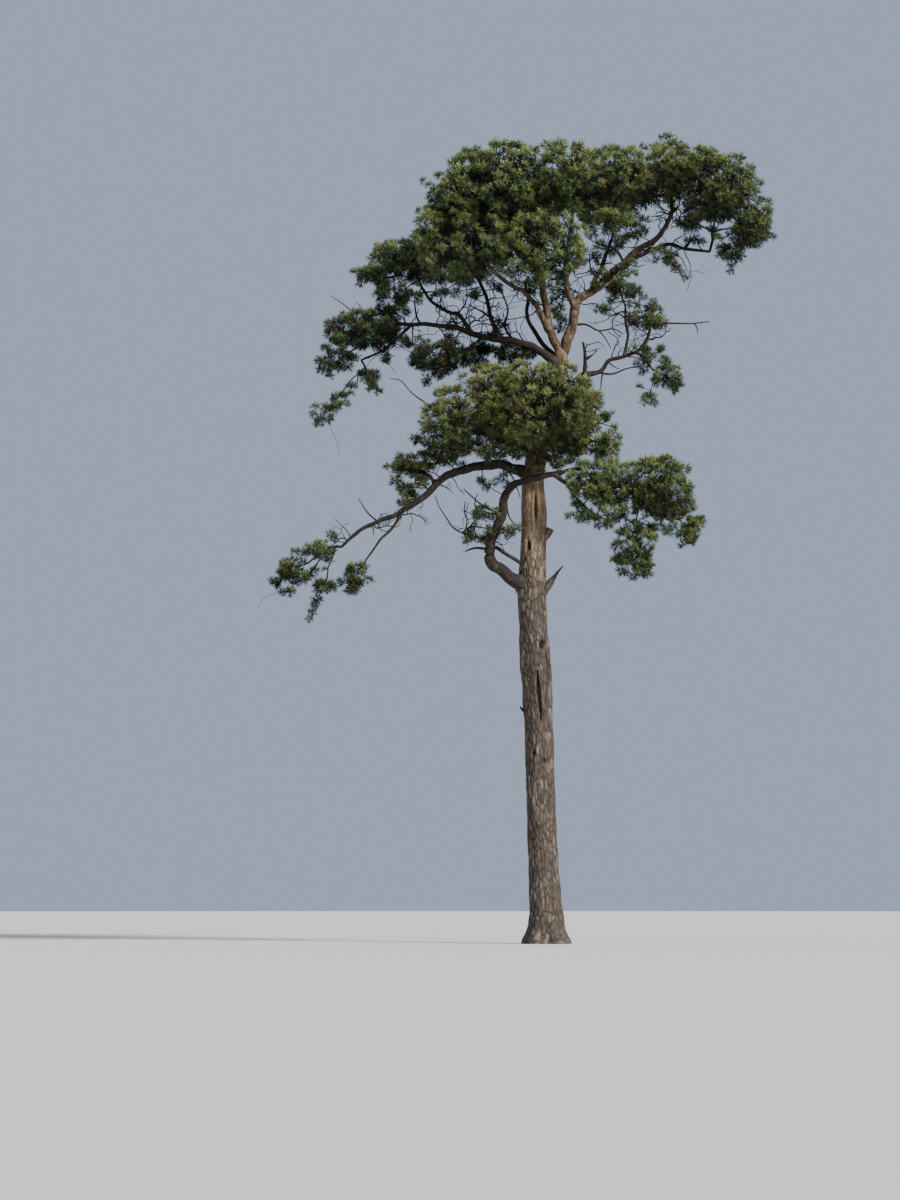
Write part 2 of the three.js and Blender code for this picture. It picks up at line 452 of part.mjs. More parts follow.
// A spray of needles: a double pyramid whose six-cornered rim is a stalk and three teeth.
function spraySolid(root, tip, twist) {
  const rim = [
    [0, 0],
    [TOOTH_REACH, TOOTH_SPREAD],
    [NOTCH_REACH, NOTCH_SPREAD],
    [1, 0],
    [NOTCH_REACH, -NOTCH_SPREAD],
    [TOOTH_REACH, -TOOTH_SPREAD],
  ];
  const along = tip.clone().sub(root);
  const length = along.length();
  const aim = along.normalize();
  const seedSide = Math.abs(aim.z) > 0.9 ? new THREE.Vector3(1, 0, 0) : new THREE.Vector3(0, 0, 1);
  const side = seedSide.cross(aim).normalize().applyAxisAngle(aim, twist);
  const face = side.clone().cross(aim);
  const geometry = new THREE.SphereGeometry(1, rim.length, 2);
  const position = geometry.attributes.position;
  const corners = [];
  for (let i = 0; i < position.count; i++) {
    const pole = Math.abs(position.getY(i)) > 0.5 ? Math.sign(position.getY(i)) : 0;
    const turn = Math.atan2(position.getZ(i), -position.getX(i));
    const corner = rim[(Math.round((turn / (2 * Math.PI)) * rim.length) + rim.length) % rim.length];
    const [u, v] = pole ? [RIDGE_REACH, 0] : corner;
    const p = root.clone().addScaledVector(aim, u * length).addScaledVector(side, v * length);
    p.addScaledVector(face, pole * BLADE_BULGE * length);
    position.setXYZ(i, p.x, p.y, p.z);
    corners.push(p);
  }
  return { made: solid(geometry), corners };
}

// The dark heart of a dense clump: a rough ball that its sprays stand out of.
function coreSolid(clump, random, extra) {
  const detail = isLarge(clump) ? CORE_DETAIL : 0;
  const bare = new THREE.IcosahedronGeometry(1, detail).deleteAttribute("normal").deleteAttribute("uv");
  const geometry = mergeVertices(bare, MERGE);
  const position = geometry.attributes.position;
  const wider = clump.map((value, i) => (i < 3 ? value : value + extra / METRE));
  for (let i = 0; i < position.count; i++) {
    const share = (isLarge(clump) ? CORE_SHARE : SMALL_CORE_SHARE) * (1 - CORE_ROUGHNESS * random());
    const p = pointIn(wider, new THREE.Vector3().fromBufferAttribute(position, i), share);
    position.setXYZ(i, p.x, p.y, p.z);
  }
  return solid(geometry);
}

const meanRadius = (clump) => (clump[3] + clump[4] + clump[5]) / 3;
const isLarge = (clump) => meanRadius(clump) > LARGE_CLUMP;
const bladeLength = (clump) => (BLADE_BASE + BLADE_SHARE * meanRadius(clump)) * METRE;

// The stem of a mass starts GAP beyond its bough's tip, or inside the trunk, which then cuts it clear.
function stemOf(mass) {
  if (mass.root) return { at: vector(mass.root), lead: null, radius: TRUNK_STEM_RADIUS };
  const { at, lead, radius } = tips.get(mass.on);
  return { at: at.clone().addScaledVector(lead, GAP), lead, radius: radius * STEM_SHARE };
}

// The stem, in one bend and square to the bough's tip, and one main twig to the heart of each clump.
function skeletonOf(mass, extra) {
  const stem = stemOf(mass);
  const centres = mass.clumps.map((clump) => vector(clump));
  const hub = stem.at.clone().lerp(centres[0], centres.length > 1 ? FORK_SHARE.several : FORK_SHARE.one);
  const bend = stem.lead ? [stem.at.clone().addScaledVector(stem.lead, SINK)] : [];
  const curve = new THREE.CatmullRomCurve3([stem.at, ...bend, hub], false, "centripetal");
  const radiusAt = (share) => stem.radius * (1 - STEM_TAPER * share) + extra;
  const rings = stem.lead ? STEM_RINGS : 1;
  const pieces = [solid(limbGeometry(curve, radiusAt, TWIG_SIDES, rings, stem.lead, 0))];
  const [r0, r1] = MAIN_TWIG.map((share) => stem.radius * share + extra);
  for (const centre of centres) pieces.push(twigSolid(hub, centre, r0, r1));
  return { made: wasm.Manifold.union(pieces), stem, centres, hub };
}

const skeletons = new Map(MASSES.map((mass) => [mass.name, skeletonOf(mass, 0)]));
const skeletonRooms = new Map(MASSES.map((mass) => [mass.name, skeletonOf(mass, 2 * GAP).made]));
const othersOf = (map, mass) => [...map].filter(([name]) => name !== mass.name).map(([, made]) => made);

// The cores come first, each cut clear of the limbs, of other stems and of the cores before it.
const cores = new Map();
const coreRooms = new Map();
MASSES.forEach((mass, number) => {
  if (!mass.dense) return;
  const make = (extra) => {
    const random = seeded(SEEDS.core + number);
    return wasm.Manifold.union(mass.clumps.map((clump) => coreSolid(clump, random, extra)));
  };
  let core = make(0);
  for (const room of [...limbRooms.values(), ...othersOf(skeletonRooms, mass), ...coreRooms.values()]) {
    if (!core.intersect(room).isEmpty()) core = core.subtract(room);
  }
  cores.set(mass.name, core);
  coreRooms.set(mass.name, make(CORE_GAP));
});

const masses = new Map();
MASSES.forEach((mass, number) => {
  const random = seeded(SEEDS.sprays + SEEDS.step * number);
  const { made: skeleton, stem, centres, hub } = skeletons.get(mass.name);
  const others = [...othersOf(skeletonRooms, mass), ...othersOf(coreRooms, mass), ...masses.values()];
  const rooms = [...limbRooms.values(), ...others];
  const clear = (made) => rooms.every((room) => made.intersect(room).isEmpty());
  const pieces = cores.has(mass.name) ? [skeleton, cores.get(mass.name)] : [skeleton];
  const forks = []; // where sprays may grow from

  // An open clump forks into finer twigs, a dense one grows its sprays from its heart.
  mass.clumps.forEach((clump, i) => {
    const heart = sunk(centres[i], hub);
    forks.push({ clump: i, at: heart });
    if (mass.dense) return;
    for (let k = 0; k < ARMS; k++) {
      const end = centres[i].clone().lerp(shellPoint(clump, k, ARMS, random), ARM_REACH);
      const arm = twigSolid(heart, end, stem.radius * ARM_TWIG[0], stem.radius * ARM_TWIG[1]);
      if (!inOwnSpace(mass, end) || !clear(arm)) continue;
      pieces.push(arm);
      forks.push({ clump: i, at: sunk(end, heart) });
    }
  });

  const nearest = (target, usable) =>
    usable.reduce((best, fork) => (fork.at.distanceTo(target) < best.at.distanceTo(target) ? fork : best));

  mass.clumps.forEach((clump, i) => {
    const count = Math.round(SPRAYS_BASE + SPRAYS_PER_METRE * meanRadius(clump));
    const usable = forks.filter((fork) => fork.clump === i);
    for (let k = 0; k < count; k++) {
      const target = shellPoint(clump, k, count, random);
      const hidden = mass.clumps.some((other) => other !== clump && depthIn(other, target) < HIDDEN);
      if (hidden) continue;
      const from = nearest(target, usable).at;
      const reach = Math.min(from.distanceTo(target), mass.dense ? bladeLength(clump) : Infinity);
      const root = target.clone().add(from.clone().sub(target).setLength(reach));
      const spray = spraySolid(root, target, random() * Math.PI);
      const inside = spray.corners.every((p) => inOwnSpace(mass, p) && depthInMass(mass, p) < ROOM);
      if (inside && clear(spray.made)) pieces.push(spray.made);
    }
  });

  // Single tips reach out of the mass, some of them bare and dead.
  const reachOut = (p, bare) => {
    const target = vector(p);
    const from = nearest(target, forks).at;
    const twig = twigSolid(from, target, OUT_TWIG[0], OUT_TWIG[1]);
    if (!clear(twig)) return;
    pieces.push(twig);
    if (bare) return;
    const root = target.clone().add(from.clone().sub(target).setLength(OUT_SPRAY));
    const spray = spraySolid(root, target, random() * Math.PI);
    if (clear(spray.made)) pieces.push(spray.made);
  };
  (mass.tips ?? []).forEach((p) => reachOut(p, false));
  (mass.bare ?? []).forEach((p) => reachOut(p, true));

  let made = wasm.Manifold.union(pieces).simplify(FUSE_DETAIL);
  for (const [name, room] of limbRooms) {
    if (name === mass.on && !mass.root && !cores.has(mass.name)) continue;
    if (!made.intersect(room).isEmpty()) made = made.subtract(room);
  }
  masses.set(mass.name, mainBody(made.simplify(CUT_DETAIL)));
});

// The tree

function node(name, made, look) {
  const mesh = new THREE.Mesh(geometryOf(made), new THREE.MeshStandardMaterial(look));
  mesh.name = name;
  return mesh;
}

const tree = new THREE.Group();
for (const [name, made] of limbs) tree.add(node(name, made, BARK));
for (const [name, made] of masses) tree.add(node(name, made, NEEDLES));

export default tree;
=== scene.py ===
# %% [markdown]
# # A lone Scots pine
# The imported solids of the tree come in first and stay fixed. They give the size and the place of
# every limb and every mass of foliage.

# %% Load the imported tree
import math

import bmesh
import bpy
import numpy as np
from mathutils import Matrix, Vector, noise


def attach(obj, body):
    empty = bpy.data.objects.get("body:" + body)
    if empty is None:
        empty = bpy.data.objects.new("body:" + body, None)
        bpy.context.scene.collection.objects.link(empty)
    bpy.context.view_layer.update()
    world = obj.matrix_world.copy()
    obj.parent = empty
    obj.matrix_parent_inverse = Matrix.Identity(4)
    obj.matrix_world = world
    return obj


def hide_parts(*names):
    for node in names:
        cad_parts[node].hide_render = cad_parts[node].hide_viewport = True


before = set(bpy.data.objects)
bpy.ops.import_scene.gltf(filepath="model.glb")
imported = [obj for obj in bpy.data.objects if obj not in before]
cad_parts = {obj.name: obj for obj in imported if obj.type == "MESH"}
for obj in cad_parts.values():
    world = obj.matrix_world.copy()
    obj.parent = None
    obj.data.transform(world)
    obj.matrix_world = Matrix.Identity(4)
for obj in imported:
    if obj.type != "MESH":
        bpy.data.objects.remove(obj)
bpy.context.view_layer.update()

# %% [markdown]
# ## The camera
# The tree stands about 120 m off and is seen a little from below, so the camera is low and far, with
# a long lens. One pixel of the 900 by 1200 picture is 23.5 mm at the tree, and the foot of the trunk
# is a little right of the middle and high above the lower edge. Both are worked into the aim, and the
# lens follows from the picture's height, because the sensor's width lies along its longer side.

# %% Camera
PICTURE = (900, 1200)
METRES_PER_PIXEL = 0.0235
FOOT_PIXEL = (546, 943)
CAMERA_DISTANCE = 120.0
EYE_HEIGHT = 1.6
SENSOR = 36.0

aim = Vector((
    (PICTURE[0] / 2 - FOOT_PIXEL[0]) * METRES_PER_PIXEL,
    0.0,
    (FOOT_PIXEL[1] - PICTURE[1] / 2) * METRES_PER_PIXEL,
))
eye = Vector((aim.x, -CAMERA_DISTANCE, EYE_HEIGHT))
camera_data = bpy.data.cameras.new("camera")
camera_data.sensor_width = SENSOR
camera_data.lens = SENSOR * (aim - eye).length / (PICTURE[1] * METRES_PER_PIXEL)
camera_data.clip_end = 1000
camera = bpy.data.objects.new("camera", camera_data)
camera.location = eye
camera.rotation_euler = (aim - eye).to_track_quat("-Z", "Y").to_euler()
bpy.context.scene.collection.objects.link(camera)
bpy.context.scene.camera = camera
print("lens:", round(camera_data.lens, 1), "mm")

# %% [markdown]
# ## Floor, sky and sun
# The tree is shown on a plain pale floor, a wide disc, under an even pale sky. A large soft sun from
# the upper right and front gives the crown its light tops and leaves the trunk's left side in shade.

# %% Floor and light
FLOOR_RADIUS = 110.0
FLOOR_DROP = 0.002
SUN_FROM = Vector((0.7, -0.75, 0.75))
SUN_SOFTNESS = math.radians(12)
SUN_STRENGTH = 6.0
SKY_COLOUR = (0.43, 0.52, 0.68, 1)
SKY_STRENGTH = 0.82
SUN_COLOUR = (1, 0.97, 0.93)


def srgb(red, green, blue):
    """A colour as read off a screen, 0 to 255, in the scene's linear values."""
    shares = (red / 255, green / 255, blue / 255)
    return tuple(c / 12.92 if c <= 0.04045 else ((c + 0.055) / 1.055) ** 2.4 for c in shares) + (1,)


def plain_material(name, colour, roughness, specular=0.5):
    """One even colour, set on the shader itself."""
    material = bpy.data.materials.new(name)
    material.use_nodes = True
    shader = material.node_tree.nodes["Principled BSDF"]
    shader.inputs["Base Color"].default_value = colour
    shader.inputs["Roughness"].default_value = roughness
    shader.inputs["Specular IOR Level"].default_value = specular
    return material


def add_object(name, mesh):
    piece = bpy.data.objects.new(name, mesh)
    bpy.context.scene.collection.objects.link(piece)
    return piece


def finish_piece(name, mesh, materials, slot, solids=()):
    """Adds a piece of the tree's one body, with its materials, and hides the solids it stands for. slot is
    not used.
    """
    piece = add_object(name, mesh)
    for material in materials:
        piece.data.materials.append(material)
    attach(piece, "root")
    if solids:
        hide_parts(*solids)


def mesh_from(bm, name):
    mesh = bpy.data.meshes.new(name)
    bm.to_mesh(mesh)
    bm.free()
    return mesh


disc = bmesh.new()
bmesh.ops.create_circle(disc, cap_ends=True, segments=128, radius=FLOOR_RADIUS)
bmesh.ops.translate(disc, verts=disc.verts, vec=(0, 0, -FLOOR_DROP))
floor = add_object("floor", mesh_from(disc, "floor"))
floor.data.materials.append(plain_material("pale floor", srgb(214, 212, 206), 0.9))

sun_data = bpy.data.lights.new("sun", "SUN")
sun_data.energy = SUN_STRENGTH
sun_data.angle = SUN_SOFTNESS
sun_data.color = SUN_COLOUR
sun = bpy.data.objects.new("sun", sun_data)
sun.rotation_euler = (-SUN_FROM).to_track_quat("-Z", "Y").to_euler()
bpy.context.scene.collection.objects.link(sun)

sky = bpy.data.worlds.new("sky")
sky.use_nodes = True
sky.node_tree.nodes["Background"].inputs["Color"].default_value = SKY_COLOUR
sky.node_tree.nodes["Background"].inputs["Strength"].default_value = SKY_STRENGTH
bpy.context.scene.world = sky
print("floor radius:", FLOOR_RADIUS, "m")

# %% [markdown]
# ## The tables of the tree
# These are the same tables that the solids are made from, in metres: the trunk's stations, each
# bough with the limb that it grows on, and each mass of foliage as a few boxy clumps. The fine limbs
# after them are too thin for solids of their own: dead snags, spurs and links that cross the gaps.

# %% Tables
TRUNK = [
    (0.0, 0.0, 0.0, 0.5),
    (0.0, 0.0, 0.45, 0.42),
    (-0.02, 0.0, 1.0, 0.375),
    (-0.09, 0.02, 2.4, 0.35),
    (-0.14, 0.04, 4.0, 0.338),
    (-0.18, 0.05, 5.3, 0.345),
    (-0.25, 0.05, 6.6, 0.366),
    (-0.31, 0.04, 7.6, 0.335),
    (-0.33, 0.02, 8.4, 0.335),
    (-0.3, 0.0, 9.1, 0.302),
    (-0.28, 0.0, 10.1, 0.3),
    (-0.3, 0.0, 10.9, 0.262),
    (-0.16, 0.0, 11.7, 0.225),
    (0.1, 0.0, 12.5, 0.19),
    (0.35, 0.0, 13.3, 0.158),
    (0.36, 0.0, 14.05, 0.15),
]
SHOULDER_STUB = (0.13, 0.085, [(-0.14, -0.02, 9.4), (0.02, -0.03, 9.58), (0.11, -0.03, 9.74)])

# Name, the limb it grows on, from its side or tip, the two radii and the route.
BOUGHS = [
    ("left_stem", "trunk", "side", 0.105, 0.06,
     [(0.3, 0, 13.85), (0.12, -0.08, 14.4), (0, -0.15, 14.9), (-0.08, -0.22, 15.5),
      (-0.3, -0.4, 16.1), (-0.7, -0.6, 16.6)]),
    ("right_stem", "trunk", "side", 0.13, 0.04,
     [(0.42, 0, 13.8), (0.57, 0, 14.4), (0.7, 0, 14.9), (0.78, 0, 15.12), (1.1, 0.04, 15.35),
      (1.55, 0.08, 15.75), (1.95, 0.1, 16.12), (2.3, 0.08, 16.42), (2.6, 0.05, 16.6),
      (2.82, 0.02, 16.9), (2.95, 0, 17.2), (2.97, -0.05, 17.5)]),
    ("high_left_bough", "left_stem", "side", 0.075, 0.04,
     [(0.1, -0.09, 14.4), (-0.08, -0.25, 14.72), (-0.27, -0.4, 15.02), (-0.55, -0.6, 15.28),
      (-1, -0.95, 15.5), (-1.5, -1.35, 15.95)]),
    ("skirt_bough", "left_stem", "side", 0.045, 0.035,
     [(-0.05, -0.19, 15.25), (-0.1, -0.5, 15.4), (-0.18, -1, 15.65)]),
    ("back_left_bough", "left_stem", "side", 0.06, 0.04,
     [(-0.09, -0.23, 15.55), (-0.25, 0.35, 15.85), (-0.5, 0.9, 16.2), (-0.7, 1.2, 16.45)]),
    ("inner_stem", "right_stem", "side", 0.05, 0.034,
     [(0.72, 0, 15), (0.6, 0.15, 15.15), (0.48, 0.32, 15.3)]),
    ("centre_bough", "right_stem", "side", 0.065, 0.045,
     [(0.71, 0, 14.93), (0.52, -0.25, 15.35), (0.45, -0.55, 15.9), (0.55, -0.8, 16.5),
      (0.6, -0.95, 16.9)]),
    ("back_right_bough", "right_stem", "side", 0.065, 0.04,
     [(1.1, 0.04, 15.35), (1.25, 0.5, 15.8), (1.45, 1, 16.3), (1.6, 1.3, 16.75)]),
    ("right_far_bough", "right_stem", "side", 0.055, 0.035,
     [(1.9, 0.1, 16.08), (2.4, -0.02, 16.27), (2.9, -0.12, 16.46), (3.3, -0.13, 16.34),
      (3.8, -0.12, 16.28)]),
    ("right_hang_spur", "right_far_bough", "side", 0.026, 0.022,
     [(2.7, -0.08, 16.4), (2.76, -0.2, 16.36), (2.8, -0.3, 16.3)]),
    ("under_left_bough", "trunk", "side", 0.095, 0.04,
     [(0.3, 0, 13.6), (-0.4, -0.22, 14.05), (-1.1, -0.35, 14.2), (-1.8, -0.45, 14.28),
      (-2.15, -0.45, 14.45), (-2.9, -0.35, 14.53), (-3.5, -0.2, 14.55)]),
    ("riser_bough", "under_left_bough", "side", 0.055, 0.038,
     [(-1.05, -0.34, 14.19), (-1.28, -0.3, 14.6), (-1.36, -0.25, 15), (-1.5, -0.1, 15.45),
      (-1.65, 0.05, 15.75)]),
    ("shoulder_bough", "under_left_bough", "side", 0.05, 0.034,
     [(-1.72, -0.43, 14.27), (-1.98, -0.38, 14.68), (-2.35, -0.3, 14.87), (-2.7, -0.2, 15.1),
      (-2.9, -0.12, 15.4)]),
    ("under_left_spur", "under_left_bough", "side", 0.035, 0.03,
     [(-1.45, -0.4, 14.24), (-1.62, -0.2, 14.12), (-1.8, -0.05, 14.02)]),
    ("left_hang_bough", "under_left_bough", "side", 0.034, 0.026,
     [(-3.15, -0.3, 14.54), (-3.5, 0.1, 14.25), (-3.9, 0.3, 13.95), (-4.3, 0.35, 13.78)]),
    ("stub_stem", "trunk", "side", 0.085, 0.03,
     [(0.26, 0, 12.75), (0.6, 0.03, 12.93), (0.83, 0.04, 13.15), (0.9, 0.04, 13.45),
      (0.93, 0.02, 13.8), (0.88, 0, 14.15)]),
    ("right_mid_bough", "stub_stem", "side", 0.055, 0.034,
     [(0.9, 0.04, 13.38), (1.25, 0.08, 13.45), (1.5, 0.1, 13.73), (1.88, 0.1, 13.83),
      (2.15, 0.12, 13.95), (2.38, 0.13, 14.2), (2.45, 0.13, 14.4)]),
    ("right_riser", "right_mid_bough", "side", 0.034, 0.026,
     [(1.86, 0.1, 13.83), (1.93, 0.1, 14.3), (1.88, 0.1, 14.7), (1.88, 0.1, 14.95)]),
    ("right_lower_bough", "right_mid_bough", "side", 0.028, 0.022,
     [(2.13, 0.12, 13.94), (2.33, 0.17, 13.76), (2.5, 0.2, 13.55)]),
    ("long_bough", "trunk", "side", 0.125, 0.098,
     [(-0.28, 0, 10.95), (-0.9, -0.25, 11.18), (-1.55, -0.4, 11.2), (-2.1, -0.45, 11.05)]),
    ("long_bough_outer", "long_bough", "tip", 0.094, 0.066,
     [(-2.1, -0.45, 11.05), (-2.5, -0.48, 10.82), (-3, -0.5, 10.36), (-3.5, -0.5, 10.03)]),
    ("tip_bough_upper", "long_bough_outer", "tip", 0.06, 0.036,
     [(-3.5, -0.5, 10.03), (-3.9, -0.48, 9.89), (-4.3, -0.45, 9.71), (-4.58, -0.42, 9.48),
      (-4.75, -0.4, 9.33)]),
    ("tip_bough_lower", "long_bough_outer", "side", 0.036, 0.022,
     [(-3.38, -0.5, 10.09), (-3.62, -0.42, 9.7), (-3.87, -0.38, 9.48), (-4.07, -0.33, 9.2),
      (-4.18, -0.3, 9.05)]),
    ("long_bough_spur", "long_bough_outer", "side", 0.036, 0.03,
     [(-2.6, -0.48, 10.72), (-2.72, -0.35, 10.93), (-2.88, -0.25, 11.05)]),
    ("low_bough", "trunk", "side", 0.165, 0.125,
     [(-0.32, 0, 8.25), (-0.64, -0.12, 8.45), (-1, -0.23, 8.7), (-1.27, -0.31, 8.93),
      (-1.36, -0.34, 9.16)]),
    ("low_bough_rise", "low_bough", "tip", 0.12, 0.1,
     [(-1.36, -0.34, 9.16), (-1.25, -0.38, 9.42), (-1.1, -0.42, 9.85), (-1, -0.45, 10.3),
      (-0.9, -0.48, 10.62)]),
    ("cross_bough", "low_bough_rise", "tip", 0.095, 0.06,
     [(-0.9, -0.48, 10.62), (-0.7, -0.5, 10.77), (-0.3, -0.52, 10.88), (0.1, -0.52, 10.97),
      (0.42, -0.52, 11.04)]),
    ("cross_upper", "cross_bough", "tip", 0.046, 0.036,
     [(0.42, -0.52, 11.04), (0.66, -0.56, 11.1), (0.85, -0.6, 11.1)]),
    ("cross_lower", "cross_bough", "side", 0.05, 0.036,
     [(0.18, -0.52, 10.99), (0.4, -0.72, 10.8), (0.7, -1, 10.7), (1.2, -1.2, 10.62),
      (1.6, -1.15, 10.55), (1.95, -1, 10.5)]),
    ("low_twig", "low_bough_rise", "side", 0.034, 0.024,
     [(-1.29, -0.39, 9.5), (-1.6, -0.45, 9.5), (-1.9, -0.47, 9.6)]),
    ("right_stub", "trunk", "side", 0.085, 0.012,
     [(-0.1, 0, 8.22), (0.08, -0.02, 8.44), (0.24, -0.03, 8.67), (0.4, -0.04, 8.86)]),
]

# Two radii and a route each.
FINE_LIMBS = [
    (0.03, 0.012, [(1.85, 0.1, 16.05), (2.05, 0.16, 16.28), (2.45, 0.18, 16.38), (2.75, 0.1, 16.75)]),
    (0.03, 0.01, [(1.85, 0.1, 16.05), (1.6, 0.16, 16.38), (1.25, 0.2, 16.5), (0.95, 0.1, 16.65)]),
    (0.03, 0.012, [(-1.32, -0.28, 14.72), (-1.55, -0.36, 14.85), (-1.85, -0.4, 15.0)]),
    (0.065, 0.03, [(0.34, 0.07, 13.68), (0.06, 0.1, 13.98), (-0.25, 0.1, 14.4), (-0.44, 0.05, 14.85),
                   (-0.42, 0.0, 15.2), (-0.5, -0.1, 15.6)]),
    (0.035, 0.015, [(-0.75, -0.28, 14.12), (-0.95, -0.1, 14.5), (-0.9, 0.0, 14.9), (-1.05, 0.1, 15.4)]),
    (0.03, 0.014, [(-2.95, -0.33, 14.53), (-3.05, -0.28, 14.75), (-3.1, -0.2, 15.15)]),
    (0.028, 0.012, [(1.2, 0.08, 13.44), (1.55, 0.25, 13.42), (1.9, 0.35, 13.55), (2.25, 0.3, 13.6)]),
    (0.03, 0.012, [(0.62, 0, 14.55), (0.95, -0.03, 14.55), (1.25, 0, 14.42), (1.6, 0.03, 14.46),
                   (1.82, 0.05, 14.35)]),
    (0.02, 0.008, [(1.25, 0, 14.42), (1.42, 0.05, 14.22), (1.55, 0.08, 13.98)]),
    (0.02, 0.007, [(0.92, 0.02, 13.76), (1.12, 0, 13.86), (1.22, -0.02, 14.02)]),
    (0.024, 0.01, [(-3.98, -0.47, 9.9), (-4.2, -0.6, 10.1), (-4.4, -0.62, 10.42)]),
    (0.024, 0.01, [(-2.5, -0.48, 10.82), (-3.1, -0.7, 10.95), (-3.7, -0.8, 11.02)]),
    (0.024, 0.01, [(-0.98, -0.46, 10.5), (-0.85, -0.4, 9.95), (-0.62, -0.36, 9.75)]),
    (0.028, 0.012, [(-1.12, -0.43, 10.05), (-1.55, -0.5, 10.3), (-1.95, -0.5, 10.65)]),
    (0.022, 0.009, [(-1.88, -0.47, 9.56), (-2.19, -0.46, 9.74), (-2.35, -0.44, 9.98), (-2.52, -0.42, 10.25),
                    (-2.6, -0.42, 10.5)]),
    (0.024, 0.009, [(-0.95, -0.3, 11.18), (-0.75, -0.45, 10.85), (-0.6, -0.5, 10.4)]),
    (0.024, 0.01, [(0.4, -0.7, 10.8), (0.75, -0.8, 10.35), (1.1, -0.85, 10.05), (1.5, -0.8, 9.85)]),
]
DEAD_LIMBS = [
    (0.03, 0.012, [(2.5, 0.14, 14.6), (2.87, 0.12, 14.6), (3.42, 0.1, 14.6), (3.9, 0.1, 14.64)]),
    (0.018, 0.008, [(3.52, 0.1, 14.6), (3.57, 0.08, 14.48), (3.58, 0.06, 14.33)]),
    (0.05, 0.042, [(-0.4, -0.05, 8.82), (-0.85, -0.2, 9.08), (-1.2, -0.33, 9.3)]),
    (0.05, 0.014, [(-1.25, -0.33, 9.2), (-1.42, -0.36, 9.24), (-1.7, -0.42, 9.25), (-1.92, -0.45, 9.17)]),
    (0.024, 0.008, [(-2.4, -0.4, 12.4), (-2.75, -0.4, 12.6), (-2.95, -0.4, 12.75), (-3.2, -0.4, 12.95),
                    (-3.42, -0.4, 13.2), (-3.7, -0.4, 13.25)]),
    (0.014, 0.006, [(-4.6, 0, 14.9), (-4.85, 0, 15.1), (-5.1, 0, 15.26)]),
    (0.012, 0.006, [(-4.3, 0, 14.85), (-4.38, 0, 15.0), (-4.5, 0, 15.12)]),
    (0.02, 0.009, [(0.93, 0.02, 13.7), (1.08, 0, 13.82), (1.23, -0.02, 13.97)]),
    (0.05, 0.02, [(-0.45, 0.0, 5.42), (-0.55, -0.02, 5.48), (-0.62, -0.03, 5.56)]),
]
